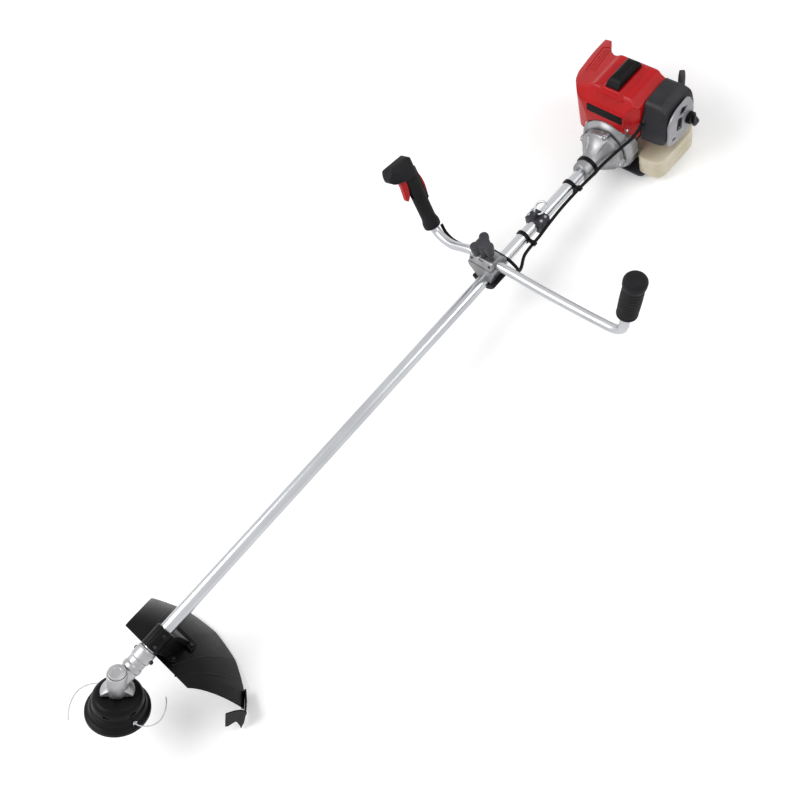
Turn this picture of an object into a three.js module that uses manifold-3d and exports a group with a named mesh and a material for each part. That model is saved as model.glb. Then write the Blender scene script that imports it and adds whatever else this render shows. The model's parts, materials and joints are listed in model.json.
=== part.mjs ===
// Petrol brush cutter with a bull-horn handlebar. A straight tube carries a bevel gear case with a
// two-line trimmer head at the front and a two-stroke engine with a recoil starter at the rear.
// Lengths are millimetres and angles are degrees. The working frame has +X along the tube from the
// head to the engine, +Y to the operator's right and +Z up, and its origin is where the head's axis
// crosses the tube's. The finished group stands on Z = 0, under the middle of its bounding box.
import * as THREE from 'three';
import { mergeVertices } from 'three/addons/utils/BufferGeometryUtils.js';
import Module from 'manifold-3d';

const wasm = await Module();
wasm.setup();

// Clearances
const seatGap = 0.3; // between pieces that rest on each other
const runGap = 0.4; // between a turning or sliding piece and its guide

// Drive tube and the shaft in it
const tubeRadius = 14;
const tubeWall = 1.5;
const tubeFront = 62;
const tubeRear = 1490;
const tubeSides = 16;
const shaftRadius = 4;
const bushCount = 3;
const bushLength = 22;
const sleeveRadius = 5.8;

// Gear case
const headTilt = 32.9; // the head's axis leans back from upright by this much
const caseRadius = 20;
const caseTop = 30;
const caseBottom = 24.5;
const caseBore = 16.5;
const capRadius = 17.5;
const capHeight = 5.6;
const neckEnd = 84;
const neckWall = 5.4;
const footRadius = 33;
const footFlat = 13.5; // from the axis to the flat cut in the foot
const bearingRadius = 11;
const bearingWidth = 8;
const outputRadius = 5;

// Bevel gears
const pinionTeeth = 10;
const gearTeeth = 14;
const gearCone = 21.7; // from the crossing of the axes to the teeth's outer ends
const gearFace = 8;
const toothHeight = 2.6;
const toothHalfWidth = 1.75;

// Trimmer head
const headTop = 28;
const headDepth = 55;
const domeRadius = 50;
const rimRadius = 64;
const headWall = 2.6;
const spoolRadius = 43;
const spoolHeight = 22;
const knobRadius = 33;
const knobDepth = 17;
const feedTravel = 8;
const lineRadius = 1.2;
const lineExit = 65; // below the crossing of the axes, along the head's axis

// Guard
const guardRadius = 250;
const guardInner = 92; // from the head's axis to the straight front edge
const guardDeck = 140; // the deck is flat up to this radius
const guardDrop = 60; // from the deck to the outer edge
const guardWall = 2.6;
const guardRoll = 7; // turn of the guard about the tube
const guardSweepRight = 35.4; // from the tube's plane to the outer edge's right end
const guardInnerRight = 94; // sideways reach of the straight front edge to the right
const guardSweepLeft = 46;
const guardClampLength = 46;
const cutterTurn = 50; // from the tube's plane round to the line cutter's blade
const cutterStrapSweep = 13;

// Handlebar and its clamp
const barX = 1130;
const barHeight = 45;
const barRadius = 10;
const clampLengthX = 50;
const clampRight = 36; // reach of the clamp to +Y
const clampLeft = 30; // reach of the clamp to -Y
const clampWall = 6;
const clampKnobRadius = 28;
const clampKnobHeight = 42;
const clampKnobLobe = 11;
const clampPadReach = 12; // the pad's reach past the bracket's saddle on each side
const gripFoot = [1139, -346, 80]; // where the left end of the bar becomes straight
const gripLean = [0.2, -0.11, 0.974];
const gripStart = 30; // bare bar between its bend and the grip
const gripLength = 117; // from the bend to the flange at the grip's end
const gripRadius = 21.5;
const gripFlange = 24;

// Throttle handle, measured along its own axis from its lower end
const handleFoot = [1132, 160, 50];
const handleLean = [0.112, 0.341, 0.933];
const handleLength = 150;
const handleHalfDepth = 17;
const handleHalfWidth = 15.5;
const headBlockLength = 32;
const headBlockFront = 55;
const headBlockBack = 17;
const headBlockHalfWidth = 23;

// Harness hanger
const hangerX = barX + 161;
const hangerLength = 30;
const hangerEyeRadius = 15;
const hangerWire = 2.4;
const lugHalf = 3;
const hangerLean = 68; // the ring lies back against the tube

// Cable clips and the throttle loom
const clipPlaces = { cable_clip_front: barX + 110, cable_clip_rear: 1404 };
const clipWidth = 8;
const clipWall = 2.4;
const loomRadius = 3.8;

// Engine
const neckX = 1444; // front face of the clutch housing
const neckRadius = 24;
const clutchFlangeX = 1528;
const clutchFlangeRadius = 52;
const castingWall = 4;
const drumRadius = 39;
const drumWidth = 16;
const fanCaseLength = 32;
const fanCaseRadius = 68;
const flywheelRadius = 54;
const flywheelWidth = 14;
const bladeCount = 10;
const crankcaseLength = 78;
const crankcaseRadius = 42;
const crankWall = 6;
const fanCaseFront = clutchFlangeX + 4 + seatGap;
const fanCaseRear = fanCaseFront + fanCaseLength;
const crankRear = fanCaseRear + crankcaseLength;
const cylinderSetback = 2.7; // from the crankcase's middle to the cylinder's axis
const cylinderX = fanCaseRear + crankcaseLength / 2 + cylinderSetback;
const boreRadius = 20;
const stroke = 31;
const cylinderTop = 118;
const finCount = 4;
const finReach = 46;
const plugTop = 146;

// Far limits of the engine's cutting blocks, past every face
const engineFore = clutchFlangeX - 28;
const engineAft = cylinderX + 154;
const engineSide = 200;
const engineDeep = 120;

// Shroud, seen from behind (Y, Z), from the side (X, Z) and from above (X, Y)
const shroudWall = 2.4;
const shroudLead = 64; // the shroud's reach ahead of the cylinder's axis
const shroudLength = 126;
const shroudFrontX = cylinderX - shroudLead;
const shroudRearX = shroudFrontX + shroudLength;
const shroudTop = 136;
const wingReachY = 134;
const wingOverhang = 50; // the heat shield's reach behind the shroud's rear face
const wingReachX = shroudRearX + wingOverhang;
const plugCoverLength = 84;
const plugCoverWidth = 30;
const plugCoverTop = 163;

// Air cleaner
const cleanerInnerY = 73;
const cleanerOuterY = 136;
const cleanerLead = 24; // the filter's reach ahead of the cylinder's axis
const cleanerLength = 86;
const cleanerFront = cylinderX - cleanerLead;
const cleanerRear = cleanerFront + cleanerLength;
const cleanerBolt = [cylinderX + 42, 60];
const cleanerTop = 132;
const cleanerBottom = 30;
const cleanerWall = 2.4;

// Starter
const starterGap = 9.7; // from the crankcase's rear to the starter
const starterFront = crankRear + starterGap;
const starterDepth = 60;
const starterHalfWidth = 46;
const starterTop = 37;
const starterBottom = 53;
const pulleyRadius = 26;
const pulleyHub = 5;
const ropeRadius = 1.8;
const ropeExit = [starterFront + 44, -starterHalfWidth - 4, 20];

// Fuel tank and stand
const tankLead = 11.3; // the tank's reach ahead of the fan case's rear face
const tankFront = fanCaseRear - tankLead;
const tankLength = 142;
const tankMiddleFront = fanCaseRear + 19.7; // under the crankcase the tank starts further back
const tankLeft = 132;
const tankRight = 84;
const tankTop = 10;
const tankBottom = 60;
const standHeight = 75; // from the crankshaft's axis to the feet, under the cylinder
const standLeft = 90;
const standRight = 66;
const capPlace = [tankFront + tankLength + 14, -98, -27];
const fuelCapRadius = 21;
const fuelCapDepth = 16;

// ---- solids ------------------------------------------------------------------------------------

// Makes one closed solid of a geometry whose faces may point either way.
function solid(geometry) {
  const bare = geometry.clone();
  bare.deleteAttribute('normal');
  bare.deleteAttribute('uv');
  const merged = mergeVertices(bare, 1e-4);
  const place = merged.attributes.position;
  const corner = (i) => new THREE.Vector3().fromBufferAttribute(place, i);
  const faces = [];
  let volume = 0;
  for (let i = 0; i < merged.index.count; i += 3) {
    const [a, b, c] = [0, 1, 2].map((k) => merged.index.getX(i + k));
    if (a === b || b === c || c === a) continue;
    faces.push([a, b, c]);
    volume += corner(a).dot(corner(b).cross(corner(c)));
  }
  const turned = volume < 0 ? faces.map(([a, b, c]) => [a, c, b]) : faces;
  return new wasm.Manifold(new wasm.Mesh({
    numProp: 3,
    vertProperties: new Float32Array(place.array),
    triVerts: new Uint32Array(turned.flat()),
  }));
}

function join(...solids) {
  return solids.flat().reduce((sum, next) => sum.add(next));
}

function cut(base, ...tools) {
  return tools.flat().reduce((left, tool) => left.subtract(tool), base);
}

function geometryOf(body) {
  const mesh = body.getMesh();
  const geometry = new THREE.BufferGeometry();
  geometry.setAttribute(
    'position', new THREE.BufferAttribute(new Float32Array(mesh.vertProperties), 3),
  );
  geometry.setIndex(new THREE.BufferAttribute(new Uint32Array(mesh.triVerts), 1));
  geometry.computeVertexNormals();
  return geometry;
}

// Turns a geometry made along +Z so that it runs along the named axis.
function aimed(geometry, axis) {
  if (axis === 'x') return geometry.applyMatrix4(new THREE.Matrix4().set(
    0, 0, 1, 0, 1, 0, 0, 0, 0, 1, 0, 0, 0, 0, 0, 1,
  ));
  if (axis === 'y') return geometry.applyMatrix4(new THREE.Matrix4().set(
    1, 0, 0, 0, 0, 0, 1, 0, 0, 1, 0, 0, 0, 0, 0, 1,
  ));
  return geometry;
}

// The two coordinates across the named axis, as a shift in the working frame.
function across(axis, u, v) {
  return axis === 'x' ? [0, u, v] : axis === 'y' ? [u, 0, v] : [u, v, 0];
}

function boxGeometry(x, y, z) {
  const geometry = new THREE.BoxGeometry(x[1] - x[0], y[1] - y[0], z[1] - z[0]);
  return geometry.translate((x[0] + x[1]) / 2, (y[0] + y[1]) / 2, (z[0] + z[1]) / 2);
}

function box(x, y, z) {
  return solid(boxGeometry(x, y, z));
}

function rodGeometry(axis, radius, from, to, at = [0, 0], sides = 14, endRadius = radius) {
  const geometry = new THREE.CylinderGeometry(endRadius, radius, to - from, sides).rotateX(Math.PI / 2);
  geometry.translate(0, 0, (from + to) / 2);
  return aimed(geometry, axis).translate(...across(axis, ...at));
}

function rod(...size) {
  return solid(rodGeometry(...size));
}

// A body of revolution about the named axis; each profile point is [radius, place along the axis].
function turnedGeometry(axis, profile, sides = 14) {
  const points = profile.map(([radius, along]) => new THREE.Vector2(radius, along));
  const open = profile[0][0] > 0 || profile.at(-1)[0] > 0;
  if (open) points.push(points[0].clone());
  return aimed(new THREE.LatheGeometry(points, sides).rotateX(Math.PI / 2), axis);
}

function turned(axis, profile, sides) {
  return solid(turnedGeometry(axis, profile, sides));
}

function ring(axis, inner, outer, from, to, sides = 14) {
  return turned(axis, [[inner, from], [outer, from], [outer, to], [inner, to]], sides);
}

// A plate with the given outline, thick along the named axis. A corner may give its own rounding.
function plateGeometry(axis, outline, from, to, rounding = 0, steps = 2) {
  const shape = new THREE.Shape();
  const count = outline.length;
  outline.forEach(([u, v, own], i) => {
    const here = new THREE.Vector2(u, v);
    const back = new THREE.Vector2(...outline[(i + count - 1) % count]).sub(here);
    const ahead = new THREE.Vector2(...outline[(i + 1) % count]).sub(here);
    const reach = Math.min(own ?? rounding, back.length() / 2.1, ahead.length() / 2.1);
    const start = here.clone().addScaledVector(back.normalize(), reach);
    const end = here.clone().addScaledVector(ahead.normalize(), reach);
    if (i === 0) shape.moveTo(start.x, start.y);
    else shape.lineTo(start.x, start.y);
    if (reach > 0) shape.quadraticCurveTo(here.x, here.y, end.x, end.y);
  });
  const options = { depth: to - from, bevelEnabled: false, curveSegments: steps };
  return aimed(new THREE.ExtrudeGeometry(shape, options).translate(0, 0, from), axis);
}

function plate(...size) {
  return solid(plateGeometry(...size));
}

// A round bar that follows a smooth curve through the points.
function barAlong(points, radius, sides, steps) {
  const path = new THREE.CatmullRomCurve3(
    points.map((p) => new THREE.Vector3(...p)), false, 'centripetal',
  );
  const section = new THREE.Shape();
  for (let i = 0; i < sides; i += 1) {
    const turn = (i / sides) * 2 * Math.PI;
    const place = [radius * Math.cos(turn), radius * Math.sin(turn)];
    if (i === 0) section.moveTo(...place);
    else section.lineTo(...place);
  }
  section.closePath();
  return solid(new THREE.ExtrudeGeometry(section, { steps, extrudePath: path, bevelEnabled: false }));
}

const radians = (degrees) => (degrees * Math.PI) / 180;

// Turns a geometry made in the head's frame, with +Z up the head's axis, into the working frame.
function leaned(geometry) {
  return geometry.rotateY(radians(headTilt));
}

// ---- materials ---------------------------------------------------------------------------------

const looks = {
  casting: [0x9a9b9d, 0.5, 0.8],
  tubeMetal: [0xd4d5d8, 0.25, 0.9],
  steel: [0xb4b6b8, 0.3, 1],
  ironDark: [0x5c5d60, 0.45, 0.9],
  blackPlastic: [0x1f1f21, 0.55, 0],
  greyPlastic: [0x4a4a4e, 0.55, 0],
  palePlastic: [0x9a9a9e, 0.5, 0],
  redPlastic: [0xc2161c, 0.4, 0],
  tankPlastic: [0xd3c6ad, 0.5, 0],
  line: [0xe8eaec, 0.3, 0],
  rubber: [0x262628, 0.8, 0],
  felt: [0xb9a77c, 0.9, 0],
};

const workingFrame = new THREE.Group();
const headFrame = new THREE.Group();
headFrame.rotation.y = radians(headTilt);
const guardFrame = new THREE.Group();
guardFrame.rotation.x = radians(guardRoll);
const guardHeadFrame = new THREE.Group();
guardHeadFrame.rotation.y = radians(headTilt);
guardFrame.add(guardHeadFrame);
const handleFrame = new THREE.Group();
workingFrame.add(headFrame, guardFrame, handleFrame);

function piece(parent, name, look, body) {
  const [color, roughness, metalness] = looks[look];
  const material = new THREE.MeshStandardMaterial({ color, roughness, metalness });
  const mesh = new THREE.Mesh(geometryOf(body), material);
  mesh.name = name;
  parent.add(mesh);
}

// ---- drive tube --------------------------------------------------------------------------------

const drumFront = clutchFlangeX - 14;
const pinionShankEnd = 56;
const pinionBearingFront = 32;

function addTube() {
  const inner = tubeRadius - tubeWall;
  piece(
    workingFrame, 'drive_tube', 'tubeMetal',
    ring('x', inner, tubeRadius, tubeFront, tubeRear, tubeSides),
  );
  // The shaft runs in one sleeve that carries the bushes.
  const pitch = (tubeRear - tubeFront) / bushCount;
  const middles = Array.from({ length: bushCount }, (_, i) => tubeFront + pitch * (i + 0.5));
  const sleeveEnd = bushLength / 2;
  const profile = [[shaftRadius + runGap, middles[0] - sleeveEnd]];
  middles.forEach((middle) => {
    profile.push([sleeveRadius, middle - sleeveEnd], [inner - seatGap, middle - sleeveEnd + 3]);
    profile.push([inner - seatGap, middle + sleeveEnd - 3], [sleeveRadius, middle + sleeveEnd]);
  });
  profile.push([shaftRadius + runGap, middles.at(-1) + sleeveEnd]);
  piece(workingFrame, 'shaft_bush_sleeve', 'blackPlastic', turned('x', profile, 12));
  const start = pinionShankEnd - 9;
  piece(workingFrame, 'drive_shaft', 'steel', rod('x', shaftRadius, start, drumFront + 1, [0, 0], 12));
}

// ---- gear case ---------------------------------------------------------------------------------

const shaftAngle = radians(90 - headTilt);
const pinionCone = Math.atan2(Math.sin(shaftAngle), gearTeeth / pinionTeeth + Math.cos(shaftAngle));
const gearConeAngle = shaftAngle - pinionCone;

// A bevel gear about +Z with its cone's point at the origin. The first tooth is at the given turn.
function bevelGear(teeth, coneAngle, turn, hubEnd, hubRadius) {
  const inner = gearCone - gearFace;
  const rootDepth = toothHeight * 0.55;
  const at = (reach) => {
    const depth = (rootDepth * reach) / gearCone;
    const radius = reach * Math.sin(coneAngle) - depth * Math.cos(coneAngle);
    return [radius, reach * Math.cos(coneAngle) + depth * Math.sin(coneAngle)];
  };
  const [outerRadius, outerZ] = at(gearCone);
  const [innerRadius, innerZ] = at(inner);
  const profile = [
    [0, innerZ], [innerRadius, innerZ], [outerRadius, outerZ], [hubRadius, outerZ + 1.5],
  ];
  let gear = turned('z', [...profile, [hubRadius, hubEnd], [0, hubEnd]], teeth);
  for (let i = 0; i < teeth; i += 1) {
    // A three-sided spike that narrows towards the cone's point; its outer corner is the tooth.
    const tooth = new THREE.CylinderGeometry(1, inner / gearCone, gearFace, 3);
    tooth.scale(toothHalfWidth, 1, toothHeight);
    tooth.rotateX(Math.PI / 2).rotateZ(Math.PI / 2).translate(0, 0, (gearCone + inner) / 2);
    tooth.rotateY(coneAngle - Math.asin(rootDepth / gearCone));
    tooth.rotateZ(turn + (2 * Math.PI * i) / teeth);
    gear = gear.add(solid(tooth));
  }
  return gear;
}

function addGearCase() {
  const socket = tubeRadius + seatGap;
  const neckRadiusOut = tubeRadius + neckWall;
  const seat = bearingRadius + seatGap;
  const lowerSeat = -caseBottom + 4.5;
  const foot = cut(
    solid(turnedGeometry(
      'z', [[0, -9], [caseRadius, -9], [footRadius, -caseBottom], [0, -caseBottom]],
    )),
    solid(boxGeometry([-60, 60], [-60, -footFlat], [-60, 60]).rotateZ(radians(-40))),
  );
  const leanedFoot = solid(leaned(geometryOf(foot)));
  const barrel = solid(leaned(rodGeometry('z', caseRadius, -caseBottom + 2, caseTop)));
  const neck = rod('x', neckRadiusOut - 1.5, 0, neckEnd, [0, 0], tubeSides, neckRadiusOut);
  const screwBosses = [-1, 1].map((side) => rod(
    'y', 6.5, Math.min(side * 12, side * 23), Math.max(side * 12, side * 23), [70, -2], 8,
  ));
  const hollow = [
    solid(leaned(rodGeometry('z', caseBore, lowerSeat + bearingWidth + 1.5, caseTop + 1))),
    solid(leaned(rodGeometry('z', capRadius + 1, caseTop, caseTop + 30))),
    solid(leaned(rodGeometry('z', seat, lowerSeat, 0))),
    solid(leaned(rodGeometry('z', outputRadius + 3, -caseBottom - 1, lowerSeat + 1, [0, 0], 16))),
    rod('x', bearingRadius + seatGap, 0, tubeFront),
    rod('x', socket, tubeFront - seatGap, neckEnd + 1, [0, 0], tubeSides),
  ];
  piece(
    workingFrame, 'gear_case', 'casting',
    cut(join(barrel, neck, leanedFoot, ...screwBosses), ...hollow),
  );

  const skirtTop = caseTop + seatGap;
  const skirtFoot = skirtTop - bearingWidth - 2 * seatGap;
  const capProfile = [
    [0, skirtTop], [outputRadius + runGap, skirtTop], [outputRadius + runGap, skirtFoot],
    [caseBore - seatGap, skirtFoot],
    [caseBore - seatGap, skirtTop],
    [capRadius, skirtTop], [capRadius, skirtTop + capHeight - 1], [capRadius - 1, skirtTop + capHeight],
    [0, skirtTop + capHeight],
  ];
  piece(headFrame, 'gear_case_cap', 'casting', turned('z', capProfile));

  const pinion = solid(aimed(
    geometryOf(bevelGear(pinionTeeth, pinionCone, Math.PI / 2, pinionShankEnd, outputRadius)), 'x',
  ));
  piece(
    workingFrame, 'input_pinion', 'ironDark',
    cut(
      pinion,
      rod('x', shaftRadius + seatGap, pinionShankEnd - 9 - seatGap, pinionShankEnd + 1, [0, 0], 16),
    ),
  );

  const shaft = join(
    bevelGear(gearTeeth, gearConeAngle, Math.PI / gearTeeth, skirtFoot - seatGap, outputRadius + 1.5),
    rod('z', outputRadius, -headTop - 20, caseTop - 1.5, [0, 0], 16),
    rod('z', 21, -headTop + seatGap, -caseBottom - seatGap),
  );
  piece(headFrame, 'output_shaft', 'ironDark', shaft);

  const race = (axis, from) => {
    const inner = outputRadius + seatGap;
    const to = from + bearingWidth;
    return turnedGeometry(
      axis, [[inner, from], [bearingRadius, from], [bearingRadius, to], [inner, to]], 14,
    );
  };
  piece(workingFrame, 'input_bearing', 'steel', solid(race('x', pinionBearingFront)));
  piece(headFrame, 'output_bearing', 'steel', solid(race('z', lowerSeat + seatGap)));
}

// ---- trimmer head ------------------------------------------------------------------------------

const headFloor = -headTop - headDepth;

function addTrimmerHead() {
  const hub = outputRadius + seatGap;
  const outside = [
    [hub, -headTop], [42, -headTop], [domeRadius, -headTop - 9], [domeRadius + 1.5, -headTop - 26],
    [domeRadius + 5, -headTop - 30], [domeRadius + 7, headFloor + 13], [rimRadius, headFloor + 9],
    [rimRadius, headFloor],
  ];
  const inside = [
    [rimRadius - 4, headFloor], [domeRadius + 1, headFloor + 9], [domeRadius - 2, -headTop - 12],
    [40, -headTop - headWall - 1], [14, -headTop - headWall - 1], [14, -headTop - 16],
    [hub, -headTop - 16],
  ];
  const exits = [0, Math.PI].map((turn) => solid(rodGeometry(
    'y', 2.4, 40, 70, [0, -lineExit], 10,
  ).rotateZ(turn)));
  piece(
    headFrame, 'trimmer_head_shell', 'blackPlastic',
    cut(turned('z', [...outside, ...inside], 16), ...exits),
  );

  const spoolTop = -lineExit + spoolHeight / 2;
  const spoolBottom = spoolTop - spoolHeight;
  const spool = turned('z', [
    [16, spoolTop], [spoolRadius, spoolTop], [spoolRadius, spoolTop - 2], [24, spoolTop - 3],
    [24, spoolBottom + 3], [spoolRadius, spoolBottom + 2], [spoolRadius, spoolBottom],
    [16, spoolBottom],
  ]);
  piece(headFrame, 'line_spool', 'greyPlastic', spool);
  const knobTop = spoolBottom - seatGap;
  const knob = turned('z', [
    [0, knobTop], [knobRadius, knobTop], [knobRadius, knobTop - 6],
    [knobRadius - 7, knobTop - knobDepth],
    [knobRadius - 14, knobTop - knobDepth - 2], [0, knobTop - knobDepth - 2],
  ]);
  piece(headFrame, 'bump_knob', 'blackPlastic', knob);

  const coil = [];
  const turns = 3;
  const perTurn = 8;
  const springFoot = knobTop + 1.6;
  const springTop = -headTop - 16 - 1.6;
  for (let i = 0; i <= turns * perTurn; i += 1) {
    const turn = (2 * Math.PI * i) / perTurn;
    coil.push([
      9 * Math.cos(turn), 9 * Math.sin(turn),
      springFoot + ((springTop - springFoot) * i) / (turns * perTurn),
    ]);
  }
  piece(headFrame, 'feed_spring', 'steel', barAlong(coil, 1, 4, turns * perTurn));
}

// One free end of nylon line; the other is the same route turned half way round the head.
const lineRoute = [
  [0, 54, -lineExit], [0, 60, -lineExit], [-3, 66, -66], [-9, 72, -67.5], [-20, 78, -70],
  [-34, 80, -72], [-48, 76, -74],
  [-62, 67, -76], [-76, 53, -78], [-86, 38, -80],
];

function addLines() {
  [['cutting_line_a', 1], ['cutting_line_b', -1]].forEach(([name, side]) => {
    const points = lineRoute.map(([x, y, z]) => [side * x, side * y, z]);
    piece(headFrame, name, 'line', barAlong(points, lineRadius, 6, 14));
  });
}

// ---- guard -------------------------------------------------------------------------------------

function addGuard() {
  const steps = 5;
  const top = [[guardInner - 20, 0], [guardDeck, 0]];
  for (let i = 1; i <= steps; i += 1) {
    const share = i / steps;
    top.push([guardDeck + (guardRadius - guardDeck) * share, -guardDrop * share ** 1.7]);
  }
  const under = [...top].reverse().map(([r, z]) => [r - (r > guardDeck ? 1.8 : 0), z - guardWall]);
  const dish = solid(turnedGeometry('z', [...top, ...under], 60));
  const far = 2 * guardRadius;
  const corner = (degrees, reach) => [
    reach * Math.cos(radians(degrees)), reach * Math.sin(radians(degrees)),
  ];
  const leftSide = corner(-guardSweepLeft, far);
  const rightInner = [guardInner, guardInnerRight];
  const rightEnd = corner(guardSweepRight, guardRadius);
  const rightSide = rightInner.map((value, axis) => value + 2 * (rightEnd[axis] - value));
  const leftInner = corner(-guardSweepLeft, guardInner / Math.cos(radians(guardSweepLeft)));
  const sector = plate('z', [rightInner, leftInner, leftSide, rightSide], -200, 100);
  const ribs = [-30, -8, 14].map((degrees) => {
    const rib = boxGeometry(
      [guardInner + 12, guardDeck + 14], [-1, 1], [-guardWall - 9, -guardWall / 2],
    );
    return solid(rib.rotateZ(radians(degrees)));
  });
  piece(guardHeadFrame, 'guard_shell', 'blackPlastic', join(dish.intersect(sector), ...ribs));

  // The line cutter is a toothed radial blade on a strap round the guard's left end.
  const strapInner = guardRadius + 2 * seatGap;
  const strapOuter = strapInner + 3.6;
  const strapTop = -guardDrop + 10;
  const strap = solid(turnedGeometry('z', [
    [strapInner, strapTop], [strapOuter, strapTop], [strapOuter, strapTop - 36],
    [strapInner, strapTop - 36],
  ], 60));
  const strapSector = plate(
    'z', [[0, 0], corner(-cutterTurn, far), corner(-cutterTurn + cutterStrapSweep, far)], -200, 100,
  );
  const outline = [
    [strapOuter, -44], [strapOuter, -80], [guardRadius + 1, -104], [guardRadius - 4, -92],
    [guardRadius - 12, -80], [guardRadius - 26, -103], [guardRadius - 31, -105],
    [guardRadius - 36, -60],
    [guardRadius - 19, -45], [guardRadius - 7, -39],
  ];
  const blade = plateGeometry('y', outline, 0, 3);
  const cutter = join(strap.intersect(strapSector), solid(blade.rotateZ(-radians(cutterTurn))));
  piece(guardHeadFrame, 'line_cutter', 'blackPlastic', cutter);

  // The clamp is a saddle on the tube with a leg down to the guard's deck.
  const front = neckEnd + 3;
  const rear = front + guardClampLength;
  const saddle = rod('x', tubeRadius + 5.5, front, rear);
  const leg = box([front + 4, rear + 6], [-22, 22], [-2 * guardInner, -4]);
  const foot = solid(leaned(boxGeometry([guardInner + 10, guardDeck + 30], [-38, 38], [0, 6])));
  const bore = rod('x', tubeRadius + seatGap, front - 1, rear + 30, [0, 0], tubeSides);
  const deckSide = solid(leaned(boxGeometry([-400, 400], [-200, 200], [-200, seatGap])));
  const pocket = box([front + 10, rear], [-17, 17], [-2 * guardInner, -tubeRadius - 8]);
  piece(
    guardFrame, 'guard_clamp', 'blackPlastic', cut(join(saddle, leg, foot), bore, pocket, deckSide),
  );
}

// ---- handlebar, its clamp and the left grip ----------------------------------------------------

const barRoute = [
  gripPoint(gripLength + 16), gripPoint(60), gripPoint(10), gripPoint(-7), [1137, -339, 58],
  [1135, -323, 48],
  [1134, -294, barHeight], [barX, -160, barHeight], [barX, -clampLeft - 20, barHeight],
  [barX, -10, barHeight],
  [barX, 26, barHeight], [barX, clampRight + 12, barHeight - 0.4], [1127, 74, 39.5], [1124, 100, 34],
  [1126, 126, 34], [1130, 149, 41],
];

function gripPoint(along) {
  return gripFoot.map((start, i) => start + gripLean[i] * along);
}

function handlePoint(along) {
  return handleFoot.map((start, i) => start + handleLean[i] * along);
}

const barBoreEnd = 112;

function addHandlebar() {
  const route = [
    ...barRoute, handlePoint(12), handlePoint(32), handlePoint(70), handlePoint(barBoreEnd - 6),
  ];
  piece(workingFrame, 'handlebar', 'tubeMetal', barAlong(route, barRadius, 8, 38));

  const front = barX - clampLengthX / 2;
  const rear = barX + clampLengthX / 2;
  const saddleHalf = tubeRadius + clampWall;
  const bar = rod('y', barRadius + seatGap, -90, 90, [barX, barHeight], 24);
  const tubeBore = rod('x', tubeRadius + seatGap, front - 9, rear + 9, [0, 0], tubeSides);
  const profile = [
    [-clampLeft, barHeight + 4], [-clampLeft, barHeight - 14], [-saddleHalf, 4], [-saddleHalf, seatGap],
    [saddleHalf, seatGap], [saddleHalf, 4], [clampRight, barHeight - 14], [clampRight, barHeight + 4],
  ];
  const lowerTop = box([front - 1, rear + 1], [-100, 100], [barHeight - seatGap / 2, barHeight + 40]);
  const base = cut(plate('x', profile, front, rear, 4), bar, tubeBore, lowerTop);
  piece(workingFrame, 'handlebar_bracket', 'casting', base);

  const capRise = barRadius + clampWall + 2;
  const capProfile = [
    [front, barHeight + seatGap / 2], [rear, barHeight + seatGap / 2], [rear - 4, barHeight + 9],
    [barX + 13, barHeight + capRise], [barX - 13, barHeight + capRise], [front + 4, barHeight + 9],
  ];
  const cap = cut(plate('y', capProfile, -clampLeft + 2, clampRight - 2, 5), bar);
  piece(workingFrame, 'handlebar_cap', 'casting', cap);

  const padProfile = [
    [-saddleHalf - clampPadReach, -seatGap], [saddleHalf + clampPadReach, -seatGap],
    [saddleHalf, -15, 8],
    [8, -24, 8], [-8, -24, 8], [-saddleHalf, -15, 8],
  ];
  piece(
    workingFrame, 'clamp_pad', 'blackPlastic',
    cut(plate('x', padProfile, front - 4, rear + 4, 2, 3), tubeBore),
  );

  const knobFoot = barHeight + capRise + seatGap;
  const knobTop = knobFoot + clampKnobHeight;
  const knobY = (clampRight - clampLeft) / 2;
  const lobeRing = clampKnobRadius - clampKnobLobe;
  const lobes = [];
  for (let i = 0; i < 3; i += 1) {
    const turn = radians(30 + 120 * i);
    const centre = [barX + lobeRing * Math.cos(turn), knobY + lobeRing * Math.sin(turn)];
    lobes.push(rod('z', clampKnobLobe, knobFoot + 8, knobTop, centre, 12));
  }
  const knobHub = rod('z', 10, knobFoot, knobTop - 3, [barX, knobY], 14, 15);
  piece(workingFrame, 'clamp_knob', 'greyPlastic', join(knobHub, ...lobes));

  const inner = barRadius + 2 * seatGap;
  const grip = turnedGeometry('z', [
    [inner, gripStart], [gripRadius, gripStart], [gripRadius + 0.5, gripStart + 10],
    [gripRadius + 0.5, 64],
    [gripRadius, gripLength - 8], [gripFlange, gripLength - 2], [gripFlange, gripLength + 14],
    [gripFlange - 5, gripLength + 20],
    [0, gripLength + 20], [0, gripLength + 16 + seatGap], [inner, gripLength + 16 + seatGap],
  ], 18);
  const aim = basisAlong(new THREE.Vector3(...gripLean));
  piece(workingFrame, 'left_grip', 'rubber', solid(grip.applyMatrix4(aim).translate(...gripFoot)));
}

// ---- throttle handle ---------------------------------------------------------------------------
// In its own frame +Z runs up the handle, +X is the palm side and +Y points outwards.

const triggerPivot = [-11, 142];

function frameHandle() {
  const up = new THREE.Vector3(...handleLean).normalize();
  const back = new THREE.Vector3(1, 0, 0).addScaledVector(up, -up.x).normalize();
  const out = new THREE.Vector3().crossVectors(up, back);
  handleFrame.setRotationFromMatrix(new THREE.Matrix4().makeBasis(back, out, up));
  handleFrame.position.set(...handleFoot);
}

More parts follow.
